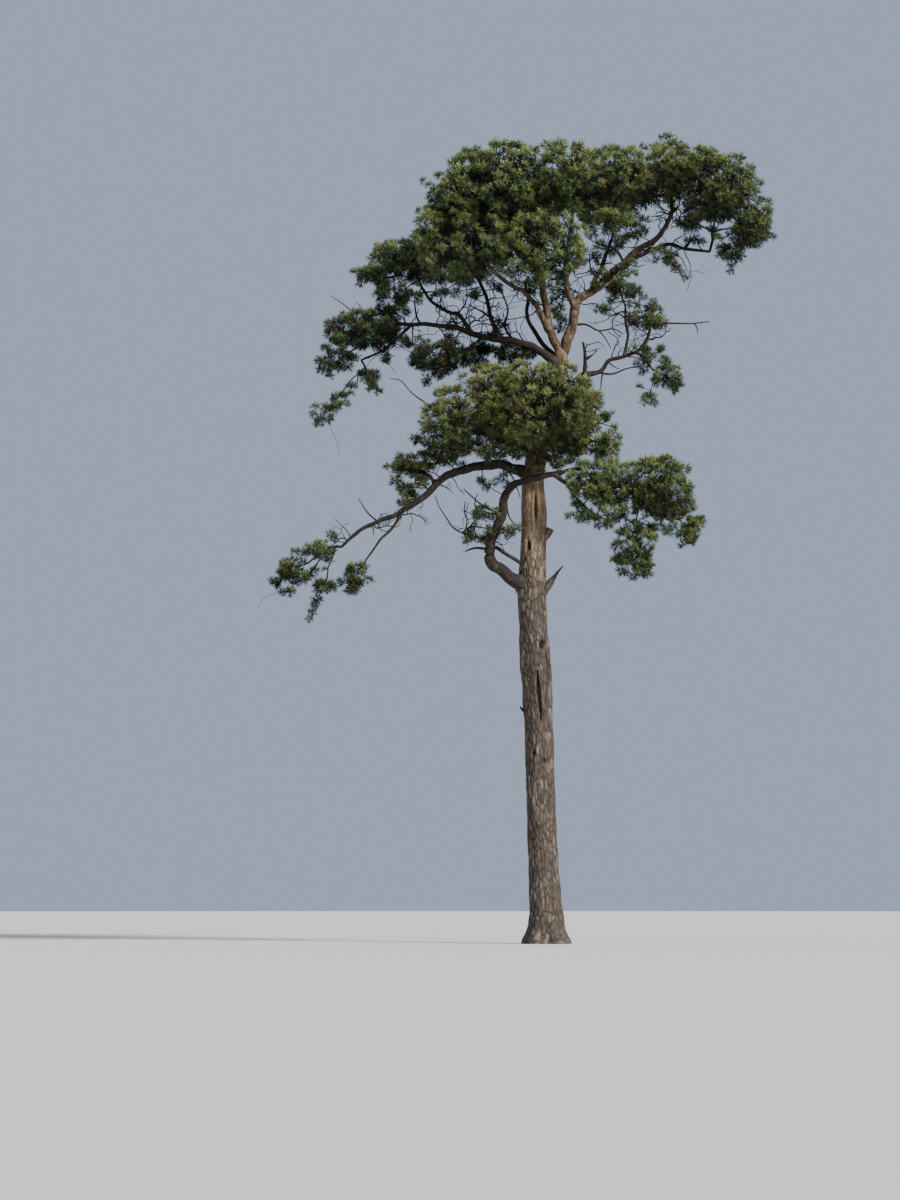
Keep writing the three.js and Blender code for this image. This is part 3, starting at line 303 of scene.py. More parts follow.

# Name, what carries it, and its clumps: centre and three half sizes. An open one has outer tufts only.
# Some have single tips that reach out, or bare dead twigs, and a mass on the trunk says where its stem
# starts. For the look there is more: gap says how close its tufts are, under what share of them is
# kept below, thick names places that look fuller, shade is painted shade that darkens its greens (below
# zero, painted light that lightens them) and brown is its share of brown.
MASSES = [
    dict(name="top_left_mass", on="left_stem",
         clumps=[(-1.9, -0.75, 17.2, 1, 1.4, 1.15), (-0.9, -0.95, 17.6, 1.15, 1.5, 1.28),
                 (-1.56, -0.4, 18.1, 0.92, 1.3, 0.74)],
         thick=[(-1.65, -0.5, 18.62, 0.42, 0.5, 0.17), (-0.2, -0.95, 18.45, 0.3, 0.4, 0.2)],
         tips=[(-2.98, -0.6, 17.95), (-3.1, -0.5, 17.2)]),
    dict(name="top_centre_mass", on="centre_bough",
         thick=[(1.1, -0.9, 18.6, 0.32, 0.4, 0.16), (0.15, -1.0, 18.35, 0.25, 0.3, 0.2)],
         clumps=[(0.55, -1.05, 17.76, 1.15, 1.5, 1.05), (1.72, -0.9, 17.95, 1.02, 1.4, 0.88),
                 (1.4, -0.8, 16.95, 0.72, 1.1, 0.55)]),
    dict(name="front_skirt_mass", shade=-0.06, on="skirt_bough",
         thick=[(-0.42, -0.9, 15.5, 0.3, 0.3, 0.26)],
         clumps=[(-0.2, -1.6, 16.1, 1.25, 1, 1.1), (-0.65, -1.15, 15.5, 0.5, 0.55, 0.3)]),
    dict(name="left_front_mass", on="high_left_bough",
         clumps=[(-2, -1.6, 16.2, 1.25, 1.1, 1.06)]),
    dict(name="top_left_low_mass", on="riser_bough",
         clumps=[(-2.2, 0.4, 16.2, 1.2, 1.2, 0.9), (-2.15, -0.05, 15.5, 0.72, 0.7, 0.36)]),
    dict(name="left_shoulder_mass", shade=0.08, gap=0.92, on="shoulder_bough",
         thick=[(-3.85, -0.1, 15.48, 0.26, 0.3, 0.22)],
         clumps=[(-3.2, 0, 16.05, 1, 1.25, 0.7), (-4, -0.05, 15.72, 0.7, 0.9, 0.46),
                 (-3.45, -0.1, 15.25, 0.68, 0.8, 0.36)]),
    dict(name="left_mid_mass", shade=0.25, gap=0.85, under=1, on="under_left_bough",
         thick=[(-5.1, 0, 14.0, 0.26, 0.3, 0.22), (-5.05, 0.1, 13.45, 0.3, 0.3, 0.2),
                (-4.55, 0.1, 13.9, 0.25, 0.3, 0.2)],
         clumps=[(-4.3, 0, 14.42, 0.98, 1.05, 0.62), (-4.95, 0.1, 13.68, 0.55, 0.6, 0.4),
                 (-3.6, -0.1, 14.9, 0.48, 0.65, 0.3)]),
    dict(name="left_hang_mass", open=True, shade=0.3, gap=0.82, on="left_hang_bough",
         thick=[(-4.15, 0.3, 13.08, 0.3, 0.3, 0.2), (-4.9, 0.2, 13.05, 0.2, 0.2, 0.2)],
         clumps=[(-4.18, 0.3, 13.25, 0.4, 0.55, 0.5), (-5.28, 0.1, 12.45, 0.36, 0.5, 0.4),
                 (-4.88, 0.1, 12.6, 0.28, 0.3, 0.3)],
         bare=[(-4.85, 0.1, 11.5)]),
    dict(name="under_left_mass", gap=0.9, under=1, shade=0.5, brown=0.06, on="under_left_spur",
         thick=[(-2.6, -0.1, 13.35, 0.5, 0.4, 0.18), (-1.1, 0.1, 13.68, 0.5, 0.4, 0.18),
                (-1.25, -0.05, 14.4, 0.4, 0.3, 0.16), (-2.45, -0.15, 14.3, 0.4, 0.3, 0.13)],
         clumps=[(-2.4, -0.1, 13.77, 0.95, 1.1, 0.57), (-1, 0.4, 13.95, 0.95, 0.8, 0.42)]),
    dict(name="top_right_mass", on="right_stem",
         thick=[(3.2, -0.2, 17.42, 0.22, 0.3, 0.24), (2.84, -0.1, 18.9, 0.17, 0.2, 0.14)],
         clumps=[(3.15, -0.35, 18.13, 1.2, 1.6, 0.76)], tips=[(2.9, -0.1, 19.1)]),
    dict(name="right_tip_mass", shade=0.2, under=1, on="right_far_bough",
         thick=[(4.05, -0.1, 16.78, 0.45, 0.4, 0.28), (4.2, -0.1, 16.3, 0.24, 0.3, 0.28)],
         clumps=[(4.15, -0.1, 17.62, 1.03, 1.6, 1.03), (4.77, -0.1, 16.95, 0.7, 1.2, 0.8),
                 (3.55, -0.1, 16.95, 0.6, 0.9, 0.42), (4.4, -0.1, 16.25, 0.36, 0.6, 0.42)],
         tips=[(4.35, -0.1, 15.7), (5.47, 0, 16.6)]),
    dict(name="right_hang_mass", open=True, shade=0.2, gap=0.85, on="right_hang_spur",
         thick=[(2.68, -0.35, 16.08, 0.22, 0.25, 0.18)],
         clumps=[(2.85, -0.4, 16.1, 0.42, 0.5, 0.35)], tips=[(3.35, -0.3, 15.55)]),
    dict(name="top_back_right_mass", on="back_right_bough",
         thick=[(2.15, 0.6, 16.95, 0.36, 0.3, 0.26), (1.8, 0.6, 16.6, 0.26, 0.25, 0.2),
                (2.35, 0.6, 17.12, 0.36, 0.3, 0.14), (1.0, 0.7, 16.02, 0.34, 0.3, 0.22)],
         clumps=[(1.75, 2, 17.9, 1.6, 1.6, 0.85), (1.35, 0.85, 16.35, 0.55, 0.5, 0.42),
                 (2.1, 0.75, 16.75, 0.55, 0.5, 0.36)]),
    dict(name="top_back_left_mass", on="back_left_bough",
         clumps=[(-1.1, 1.9, 17.3, 1.6, 1.5, 1.3)]),
    dict(name="inner_mass", on="inner_stem",
         thick=[(0.3, 0.42, 14.72, 0.24, 0.3, 0.28)],
         clumps=[(0.32, 0.5, 15.5, 0.42, 0.45, 0.6), (0.32, 0.42, 14.85, 0.26, 0.35, 0.34)]),
    dict(name="right_high_mass", open=True, shade=0.15, gap=0.8, on="right_riser",
         thick=[(1.2, 0, 15.45, 0.22, 0.22, 0.2), (2.0, 0.1, 14.75, 0.2, 0.22, 0.22)],
         clumps=[(1.74, 0.1, 15.48, 0.56, 0.6, 0.45), (2.22, 0.12, 15.05, 0.44, 0.45, 0.34),
                 (1.3, 0, 14.95, 0.28, 0.32, 0.22)]),
    dict(name="right_mid_mass", shade=0.15, gap=0.82, under=1, on="right_mid_bough",
         clumps=[(2.45, 0.15, 14.7, 0.5, 0.62, 0.42)]),
    dict(name="right_lower_mass", shade=0.2, gap=0.82, on="right_lower_bough",
         thick=[(3.05, 0.2, 13.1, 0.26, 0.3, 0.24), (2.2, 0.15, 13.1, 0.26, 0.25, 0.16),
                (2.78, 0.2, 13.72, 0.24, 0.25, 0.14)],
         clumps=[(2.88, 0.2, 13.33, 0.43, 0.5, 0.52), (2.3, 0.15, 13.65, 0.34, 0.4, 0.26),
                 (2.42, 0.2, 12.82, 0.25, 0.3, 0.3)]),
    dict(name="mid_left_mass", shade=-0.06, brown=0.1, under=1, on="trunk", root=(-0.2, 0, 11.5),
         thick=[(-1.62, -0.5, 11.72, 0.35, 0.3, 0.26)],
         clumps=[(-2.1, -0.4, 12.15, 0.93, 1.3, 1), (-1.25, -0.6, 12.55, 1, 1.4, 1.15),
                 (-1.25, -0.55, 11.62, 0.8, 0.8, 0.36)]),
    dict(name="mid_front_mass", shade=-0.06, brown=0.1, under=1, on="trunk", root=(-0.05, 0, 12.05),
         clumps=[(-0.1, -1.45, 12.5, 1.35, 1.05, 1.2)]),
    dict(name="mid_right_mass", shade=-0.06, brown=0.1, under=1, on="trunk", root=(-0.1, 0, 11.8),
         thick=[(1.38, -0.1, 12.3, 0.26, 0.4, 0.36), (0.65, -0.4, 11.38, 0.45, 0.3, 0.22),
                (1.4, -0.2, 11.5, 0.3, 0.3, 0.2)],
         clumps=[(0.66, -0.1, 12.15, 0.86, 1.3, 1.08), (1.22, -0.1, 11.78, 0.62, 1, 0.56),
                 (0.42, -0.35, 11.35, 0.36, 0.5, 0.25)]),
    dict(name="mid_back_mass", on="trunk", root=(-0.15, 0, 11.7),
         clumps=[(-0.25, 1.4, 12.4, 1.6, 1.1, 1.2)]),
    dict(name="long_bough_mass", shade=0.1, gap=0.85, under=1, on="long_bough_spur",
         thick=[(-2.95, -0.3, 10.85, 0.26, 0.3, 0.2)],
         clumps=[(-3.1, -0.1, 11.2, 0.6, 0.7, 0.48), (-3.25, -0.05, 10.55, 0.4, 0.55, 0.45),
                 (-2.3, -0.2, 11.35, 0.5, 0.5, 0.3)],
         tips=[(-3.85, -0.1, 11.2)]),
    dict(name="tip_left_mass", shade=0.25, gap=0.8, on="tip_bough_upper",
         thick=[(-5.62, -0.3, 8.55, 0.32, 0.3, 0.3), (-6.35, -0.3, 8.4, 0.2, 0.25, 0.25),
                (-5.75, -0.35, 9.2, 0.3, 0.25, 0.2)],
         clumps=[(-5.3, -0.35, 9.24, 0.56, 0.5, 0.3), (-6.03, -0.3, 8.7, 0.48, 0.55, 0.5),
                 (-5.25, -0.35, 8.32, 0.46, 0.45, 0.36), (-6.1, -0.3, 8.25, 0.32, 0.35, 0.3)],
         tips=[(-5.6, -0.3, 7.5)], bare=[(-6.75, -0.3, 7.87)]),
    dict(name="tip_left_low_mass", shade=0.25, gap=0.85, on="tip_bough_lower",
         thick=[(-4.55, -0.25, 8.25, 0.28, 0.25, 0.22)],
         clumps=[(-4.5, -0.25, 8.58, 0.45, 0.45, 0.58)]),
    dict(name="low_twig_mass", open=True, shade=0.3, gap=0.85, on="low_twig",
         thick=[(-1.2, -0.62, 9.9, 0.24, 0.2, 0.42), (-1.4, -0.6, 9.55, 0.22, 0.2, 0.2)],
         clumps=[(-1.55, -0.52, 10.05, 0.42, 0.4, 0.38), (-1.75, -0.5, 9.42, 0.34, 0.3, 0.2),
                 (-0.84, -0.68, 9.6, 0.28, 0.3, 0.38)]),
    dict(name="lower_right_inner_mass", gap=0.92, under=0.9, on="cross_upper",
         thick=[(1.9, -0.75, 10.05, 0.4, 0.4, 0.22), (0.75, -0.75, 10.15, 0.3, 0.3, 0.2),
                (1.55, -0.75, 9.75, 0.45, 0.35, 0.2), (1.15, -0.75, 9.92, 0.35, 0.3, 0.16)],
         clumps=[(1.3, -0.75, 10.7, 0.92, 0.95, 0.8), (1.45, -0.8, 10.02, 0.62, 0.6, 0.36)],
         tips=[(0.4, -0.8, 9.98)]),
    dict(name="lower_right_outer_mass", shade=0.12, gap=0.88, under=1, on="cross_lower",
         thick=[(3.3, -0.6, 9.42, 0.36, 0.4, 0.28), (3.52, -0.6, 9.95, 0.26, 0.3, 0.3),
                (2.85, -0.7, 9.8, 0.3, 0.3, 0.2), (1.75, -0.75, 9.82, 0.5, 0.35, 0.2),
                (2.35, -0.7, 9.72, 0.4, 0.35, 0.2), (2.25, -0.7, 8.75, 0.3, 0.3, 0.25),
                (1.6, -0.7, 8.95, 0.22, 0.25, 0.22)],
         clumps=[(2.64, -0.75, 10.58, 0.86, 1.15, 0.93), (3.32, -0.6, 9.75, 0.46, 0.6, 0.72),
                 (2.05, -0.7, 9.15, 0.64, 0.65, 0.82), (2.6, -0.7, 9.7, 0.45, 0.5, 0.26)]),
]
# Small open wisps and skirts on a limb, too small for solids of their own. A free one may grow into the
# space of the masses. Most get the painted shade that WISP_SHADE says.
WISP_SHADE = 0.2
WISPS = [
    dict(name="wisp_under_long_bough", root=(-1.5, -0.42, 11.16),
         clumps=[(-1.5, -0.5, 10.78, 0.2, 0.2, 0.32)]),
    dict(name="wisp_by_trunk", root=(-1.0, -0.3, 11.18), clumps=[(-1.0, -0.4, 10.88, 0.2, 0.2, 0.25)]),
    dict(name="wisp_under_shoulder", root=(-3.3, -0.25, 14.53), clumps=[(-3.4, -0.2, 14.2, 0.27, 0.3, 0.18)]),
    dict(name="wisp_on_hang_bough", root=(-3.7, 0.2, 14.1), clumps=[(-3.74, 0.2, 13.82, 0.18, 0.2, 0.2)]),
    dict(name="wisp_on_lower_bough", root=(2.33, 0.17, 13.76),
         clumps=[(2.63, 0.2, 13.93, 0.15, 0.17, 0.2), (2.27, 0.05, 13.95, 0.22, 0.25, 0.22)]),
    dict(name="wisp_under_right_stem", root=(1.5, 0.08, 15.7),
         clumps=[(1.45, -0.1, 15.85, 0.3, 0.3, 0.24), (1.9, -0.05, 15.9, 0.24, 0.25, 0.2)]),
    dict(name="wisp_on_riser", root=(-1.36, -0.25, 15.0), clumps=[(-1.75, -0.3, 15.18, 0.24, 0.25, 0.16)]),
    dict(name="wisp_on_shoulder_bough", root=(-2.35, -0.3, 14.87),
         clumps=[(-2.5, -0.35, 15.2, 0.26, 0.25, 0.2)]),
    dict(name="wisp_on_far_bough", root=(3.3, -0.13, 16.34), clumps=[(3.5, -0.2, 16.62, 0.24, 0.3, 0.22)]),
    dict(name="wisp_on_long_bough", root=(-2.75, -0.49, 10.6),
         clumps=[(-3.0, -0.45, 10.9, 0.3, 0.3, 0.22), (-3.5, -0.4, 10.85, 0.26, 0.3, 0.3)]),
    dict(name="wisp_at_tip", root=(-4.7, -0.41, 9.38), clumps=[(-5.1, -0.4, 9.45, 0.26, 0.26, 0.17)]),
    dict(name="wisp_on_riser_top", root=(-1.5, -0.1, 15.45),
         clumps=[(-2.05, -0.25, 15.32, 0.3, 0.25, 0.18), (-1.15, -0.2, 15.4, 0.26, 0.25, 0.16)]),
    dict(name="wisp_on_left_stem", root=(0.0, -0.15, 14.9), shade=0.25,
         clumps=[(-0.38, -0.2, 15.32, 0.26, 0.25, 0.22)]),
    dict(name="skirt_left_of_trunk", root=(-0.5, -0.05, 11.5), shade=0.32, brown=0.3, gap=0.8, free=True,
         clumps=[(-1.75, -0.6, 11.52, 0.6, 0.4, 0.2), (-0.85, -0.6, 11.42, 0.55, 0.4, 0.22)]),
    dict(name="skirt_before_trunk", root=(-0.22, -0.18, 11.5), shade=0.32, brown=0.32, gap=0.75, free=True,
         clumps=[(-0.3, -0.65, 11.55, 0.42, 0.35, 0.26), (0.3, -0.55, 11.42, 0.42, 0.35, 0.24),
                 (-0.2, -0.52, 11.2, 0.42, 0.22, 0.2), (0.25, -0.5, 11.18, 0.3, 0.2, 0.16)]),
    dict(name="skirt_over_long_bough", root=(-2.1, -0.45, 11.05), shade=0.25, brown=0.15, gap=0.85, free=True,
         clumps=[(-2.55, -0.4, 11.55, 0.45, 0.35, 0.22), (-2.95, -0.35, 11.7, 0.26, 0.3, 0.18)]),
]
# Where the sky shows through the crown from the front: across, height and two half sizes.
CLEARINGS = [(2.6, 17.5, 0.46, 0.34), (4.9, 18.5, 0.32, 0.3), (-3.2, 14.5, 0.16, 0.15)]
print("boughs:", len(BOUGHS), "fine limbs:", len(FINE_LIMBS) + len(DEAD_LIMBS), "masses:", len(MASSES))

# %% [markdown]
# ## Bark
# An old Scots pine has two barks. Low down it is grey-brown, in long thick plates with dark furrows
# between them; higher up and on the boughs it is thin, flaky and orange. The relief is real geometry,
# and while it is made, each vertex takes four notes: how deep in a furrow it lies, the tone of its
# plate, how far it is inside a wound, and how near it is to the foot of its bough. The furrow note also
# carries painted shade: at the trunk's fork and on stems where they run into the crown's shade. The
# shader group reads them as attributes. It blends the two barks by height with a ragged border, keeps
# the low bark at the foot of a bough, and darkens both with fine streaks and broad drips from
# drawn-out noise. It puts out a colour, a roughness and a height for the bump.

# %% Bark shader group
NOTES = ("furrow", "tone", "wound", "foot")
BARK_COLOURS = {
    "Plate": srgb(88, 78, 69),
    "Plate Light": srgb(122, 109, 97),
    "Furrow Colour": srgb(46, 39, 34),
    "Flake": srgb(134, 113, 87),
    "Flake Light": srgb(166, 143, 113),
    "Wound Colour": srgb(26, 21, 18),
}
# Each noise: its scale, its detail and how it is squeezed along three axes.
GRAIN = (26.0, 6, (1, 1, 0.22))
BLOTCH = (1.7, 4, (1, 1, 1))
BORDER = (1.3, 4, (1, 1, 0.5))
DRIP = (7.0, 5, (1, 1, 0.14))
BORDER_RAGGED = 2.2
TONE_SHARE = 0.45
# Smooth steps: from, to, and the values at both where they aren't 0 and 1.
SPOTS = (0.45, 0.95)
STREAKS = (0.3, 0.75, 0.7, 1.15)
DRIPS = (0.32, 0.62, 0.72, 1.08)
GRAIN_ROUGHNESS = (0.2, 0.8, 0.95, 0.78)
BARK_SPECULAR = 0.25
BUMP_DISTANCE = 0.012
BUMP_STRENGTH = 0.6


def give(tree, socket, value):
    """Links an output to a socket, or sets the socket to a plain value."""
    if isinstance(value, bpy.types.NodeSocket):
        tree.links.new(value, socket)
    else:
        socket.default_value = value


def mix_colours(tree, factor, first, second, blend="MIX"):
    mix = tree.nodes.new("ShaderNodeMix")
    mix.data_type = "RGBA"
    mix.blend_type = blend
    for socket, value in ((mix.inputs["Factor"], factor), (mix.inputs[6], first), (mix.inputs[7], second)):
        give(tree, socket, value)
    return mix.outputs[2]


def map_range(tree, value, low, high, to_low=0.0, to_high=1.0):
    """A smooth step of a value from low to high."""
    node = tree.nodes.new("ShaderNodeMapRange")
    node.interpolation_type = "SMOOTHSTEP"
    names = ("Value", "From Min", "From Max", "To Min", "To Max")
    for name, given in zip(names, (value, low, high, to_low, to_high)):
        give(tree, node.inputs[name], given)
    return node.outputs["Result"]


def multiply_add(tree, value, factor, added):
    node = tree.nodes.new("ShaderNodeMath")
    node.operation = "MULTIPLY_ADD"
    for socket, given in zip(node.inputs, (value, factor, added)):
        give(tree, socket, given)
    return node.outputs["Value"]


def noise_of(tree, vector, scale, detail, squeeze):
    mapping = tree.nodes.new("ShaderNodeMapping")
    mapping.inputs["Scale"].default_value = squeeze
    give(tree, mapping.inputs["Vector"], vector)
    node = tree.nodes.new("ShaderNodeTexNoise")
    node.inputs["Scale"].default_value = scale
    node.inputs["Detail"].default_value = detail
    give(tree, node.inputs["Vector"], mapping.outputs["Vector"])
    return node.outputs["Fac"]


def bark_group():
    """Inputs: where, the notes of the vertex, the heights where the bark changes, and the colours."""
    group = bpy.data.node_groups.new("pine bark", "ShaderNodeTree")
    floats = [note.capitalize() for note in NOTES] + ["Change Low", "Change High"]
    inputs = [("Where", "Vector")] + [(name, "Float") for name in floats]
    inputs += [(name, "Color") for name in BARK_COLOURS]
    outputs = [("Color", "Color"), ("Roughness", "Float"), ("Height", "Float")]
    for way, sockets in (("INPUT", inputs), ("OUTPUT", outputs)):
        for name, kind in sockets:
            group.interface.new_socket(name, in_out=way, socket_type="NodeSocket" + kind)
    given = group.nodes.new("NodeGroupInput").outputs
    result = group.nodes.new("NodeGroupOutput").inputs

    rows = (GRAIN, BLOTCH, BORDER, DRIP)
    grain, blotch, border, drip = (noise_of(group, given["Where"], *row) for row in rows)
    apart = group.nodes.new("ShaderNodeSeparateXYZ")
    give(group, apart.inputs["Vector"], given["Where"])
    ragged = multiply_add(group, border, BORDER_RAGGED, apart.outputs["Z"])
    high = map_range(group, ragged, given["Change Low"], given["Change High"])

    spots = map_range(group, multiply_add(group, given["Tone"], TONE_SHARE, blotch), *SPOTS)
    low_bark = mix_colours(group, spots, given["Plate"], given["Plate Light"])
    high_bark = mix_colours(group, spots, given["Flake"], given["Flake Light"])
    bark = mix_colours(group, high, low_bark, high_bark)
    bark = mix_colours(group, given["Foot"], bark, low_bark)
    for noise_value, steps in ((grain, STREAKS), (drip, DRIPS)):
        bark = mix_colours(group, 1.0, bark, map_range(group, noise_value, *steps), "MULTIPLY")
    # The furrow note also carries painted shade, so this mix paints it in with the furrow colour.
    for note in ("Furrow", "Wound"):
        bark = mix_colours(group, given[note], bark, given[note + " Colour"])
    give(group, result["Color"], bark)
    give(group, result["Roughness"], map_range(group, grain, *GRAIN_ROUGHNESS))
    give(group, result["Height"], grain)
    return group


BARK_GROUP = bark_group()


def bark_material(name, change, colours):
    """The bark group, its values and a Principled shader."""
    material = bpy.data.materials.new(name)
    material.use_nodes = True
    tree = material.node_tree
    shader = tree.nodes["Principled BSDF"]
    shader.inputs["Specular IOR Level"].default_value = BARK_SPECULAR
    group = tree.nodes.new("ShaderNodeGroup")
    group.node_tree = BARK_GROUP
    give(tree, group.inputs["Where"], tree.nodes.new("ShaderNodeTexCoord").outputs["Object"])
    for note in NOTES:
        reader = tree.nodes.new("ShaderNodeAttribute")
        reader.attribute_name = note
        give(tree, group.inputs[note.capitalize()], reader.outputs["Fac"])
    for socket, value in ({"Change Low": change[0], "Change High": change[1]} | colours).items():
        group.inputs[socket].default_value = value
    bump = tree.nodes.new("ShaderNodeBump")
    bump.inputs["Distance"].default_value = BUMP_DISTANCE
    bump.inputs["Strength"].default_value = BUMP_STRENGTH
    give(tree, bump.inputs["Height"], group.outputs["Height"])
    give(tree, shader.inputs["Normal"], bump.outputs["Normal"])
    give(tree, shader.inputs["Base Color"], group.outputs["Color"])
    give(tree, shader.inputs["Roughness"], group.outputs["Roughness"])
    return material


TRUNK_CHANGE = (9.2, 11.6)
BOUGH_CHANGE = (-1, 0)
# The boughs' furrow colour, which is also the colour of their painted shade.
BOUGH_FURROW = srgb(34, 28, 24)


def bough_material(name, flake, flake_light):
    """Bark for boughs of one colour, with no change along the height."""
    colours = {"Flake": flake, "Flake Light": flake_light, "Furrow Colour": BOUGH_FURROW}
    return bark_material(name, BOUGH_CHANGE, BARK_COLOURS | colours)


trunk_bark = bark_material("trunk bark", TRUNK_CHANGE, BARK_COLOURS)
bough_bark = bough_material("bough bark", srgb(92, 75, 57), srgb(126, 104, 78))
# The low boughs' darker bark: partly their own colour, partly painted shade.
low_bough_bark = bough_material("low bough bark", srgb(47, 40, 36), srgb(68, 58, 50))
dead_wood = bough_material("dead wood", srgb(48, 43, 39), srgb(70, 63, 57))
# A darker copy of the bough bark for boughs in the crown's shade: painted shade.
shaded_bark = bough_material("shaded bough bark", srgb(46, 38, 32), srgb(66, 54, 45))
twig_bark = bough_material("twig bark", srgb(40, 33, 28), srgb(56, 46, 39))
print("barks:", [material.name for material in bpy.data.materials if material.name.endswith("bark")])

# %% [markdown]
# ## A limb
# Every limb is one closed cylinder, bent and tapered. A bevelled curve would be quicker to draw, but
# its surface could carry no plates. So a bmesh cone with equal ends is cut into many rings, and each
# vertex is moved out to its place on the route. The route is the same smooth curve as the solid's.

# %% Routes and limbs
def route(points, rings):
    """A centripetal Catmull-Rom curve through the points, as rings + 1 places."""
    given = np.array(points, float)
    ends = (2 * given[0] - given[1], 2 * given[-1] - given[-2])
    p = np.vstack([ends[0], given, ends[1]])
    way = np.linspace(0, len(given) - 1, rings + 1)
    first = np.minimum(way.astype(int), len(given) - 2)
    t = (way - first)[:, None]
    a, b, c, d = (p[first + k] for k in range(4))
    ab, bc, cd = (np.sqrt(np.linalg.norm(v - u, axis=1))[:, None] for u, v in ((a, b), (b, c), (c, d)))
    out = ((b - a) / ab - (c - a) / (ab + bc) + (c - b) / bc) * bc
    into = ((c - b) / bc - (d - b) / (bc + cd) + (d - c) / cd) * bc
    return b + out * t + (3 * (c - b) - 2 * out - into) * t**2 + (2 * (b - c) + out + into) * t**3


def unit(vectors):
    return vectors / np.linalg.norm(vectors, axis=-1, keepdims=True)


def ring_frames(spine, lead=None):
    """The tangent and two directions across it, at each ring, with no twist between rings."""
    tangents = unit(np.gradient(spine, axis=0))
    if lead is not None:
        tangents[0] = lead
    normal = np.cross((0, 1, 0), tangents[0])
    normals = []
    for tangent in tangents:
        normal = unit(normal - tangent * normal.dot(tangent))
        normals.append(normal)
    normals = np.array(normals)
    return tangents, normals, np.cross(tangents, normals)


def run_length(spine):
    steps = np.linalg.norm(np.diff(spine, axis=0), axis=1)
    return np.concatenate([[0], np.cumsum(steps)])


def limb_mesh(name, spine, sides, surface, lead=None):
    """surface(ring, angle) gives each vertex's radius and push along, and then its notes."""
    rings = len(spine) - 1
    bm = bmesh.new()
    bmesh.ops.create_cone(bm, cap_ends=True, segments=sides, radius1=1, radius2=1, depth=1)
    lengthwise = [e for e in bm.edges if abs(e.verts[0].co.z - e.verts[1].co.z) > 0.5]
    bmesh.ops.subdivide_edges(bm, edges=lengthwise, cuts=rings - 1, use_grid_fill=True)
    mesh = mesh_from(bm, name)
    co = np.empty(len(mesh.vertices) * 3)
    mesh.vertices.foreach_get("co", co)
    co = co.reshape(-1, 3)
    ring = np.rint((co[:, 2] + 0.5) * rings).astype(int)
    angle = np.arctan2(co[:, 1], co[:, 0])
    radius, along, *notes = surface(ring, angle)
    tangents, normals, sideways = ring_frames(spine, lead)
    across = normals[ring] * np.cos(angle)[:, None] + sideways[ring] * np.sin(angle)[:, None]
    placed = spine[ring] + across * radius[:, None] + tangents[ring] * along[:, None]
    mesh.vertices.foreach_set("co", placed.ravel())
    for note, values in zip(NOTES, notes):
        attribute = mesh.attributes.new(note, "FLOAT", "POINT")
        attribute.data.foreach_set("value", values)
    mesh.polygons.foreach_set("use_smooth", np.ones(len(mesh.polygons), bool))
    mesh.update()
    return mesh


def smooth(values, low, high):
    t = np.clip((values - low) / (high - low), 0, 1)
    return t * t * (3 - 2 * t)


TONE_SCATTER = 7.3


def plates(points):
    """How far each point is from the seam between two plates, and a tone that its plate has to itself."""
    found = [noise.voronoi(point) for point in points]
    seams = np.array([near[1] - near[0] for near, _ in found])
    return seams, np.array([noise.cell(middles[0] * TONE_SCATTER) for _, middles in found])


def lumps(points):
    return np.array([noise.noise(point) for point in points])


print("notes of each vertex of bark:", NOTES)

# %% [markdown]
# ## The trunk
# The trunk leans and tapers, swells at the root flare in five lobes, and is cut flat at the ground. Its
# plates are tall cells of a Voronoi pattern wrapped round it: the seam between two cells is sunk to
# make a furrow. Low down the plates are long and deep, near the crown small and thin, and at the fork,
# inside the crown, the bark is darkened with painted shade. A knot hole, a long fissure, three small
# holes and two grooves are carved in where the photo shows them. They are marked as wounds, and have
# raised lips round them.

# %% Trunk
FLARE_HEIGHT = 0.9
FLARE_LOBES = 5
FLARE_SWELL = 0.17
FLARE_MEAN = 0.6
TRUNK_SIDES = 128
TRUNK_RINGS = 700
BARK_AROUND = 0.36
# The size of the plates, round the trunk and along it, how deep their seams are and how dark they look.
LOW_PLATE = (0.085, 0.085, 0.25)
HIGH_PLATE = (0.07, 0.07, 0.12)
PLATE_CHANGE = (8.6, 10.6)
LOW_DEPTH, HIGH_DEPTH = 0.017, 0.006
LOW_FURROW, HIGH_FURROW = 0.8, 0.4
SEAM = (0.02, 0.24)
SWAY_SIZE = (0.16, 0.16, 0.3)
SWAY = (0.035, 0.035, 0.12)
LUMP_SIZE = 0.45
LUMP_HEIGHT = 0.02
TOP_ROUND = 0.22
TOP_CLOSED = 0.0004
# Where, and how much, the bark at the fork inside the crown is darkened: painted shade.
FORK_CHANGE = (12.6, 13.5)
FORK_PAINTED_SHADE = 0.28
UP = np.array([0.0, 0.0, 1.0])

# Holes on the side that is seen: across, height, half width, half height, depth.
HOLES = [
    (-0.08, 7.0, 0.08, 0.12, 0.08),
    (-0.24, 10.25, 0.05, 0.42, 0.05),
    (-0.3, 4.45, 0.04, 0.09, 0.02),
    (-0.05, 4.27, 0.035, 0.06, 0.03),
    (-0.42, 9.33, 0.05, 0.15, 0.04),
]
# Long grooves on the same side: half width, depth, how bare, and a line of places, across and height.
GROOVES = [
    (0.05, 0.05, 1.0, [(-0.21, 6.4), (-0.19, 5.95), (-0.15, 5.55), (-0.11, 5.2)]),
    (0.05, 0.03, 0.55, [(-0.02, 6.9), (0.05, 6.5), (0.045, 6.0), (0.01, 5.65), (-0.08, 5.28)]),
]
GROOVE_END = 0.3
# In half widths of a hole or groove: where its edge runs, and where its lip rises and falls again.
EDGE, LIP_RISES, LIP_FALLS = (0.5, 1.2), (0.9, 1.5), (1.6, 2.6)
LIP = 0.014

trunk_spine = route([row[:3] for row in TRUNK], TRUNK_RINGS)
trunk_frames = ring_frames(trunk_spine, UP)


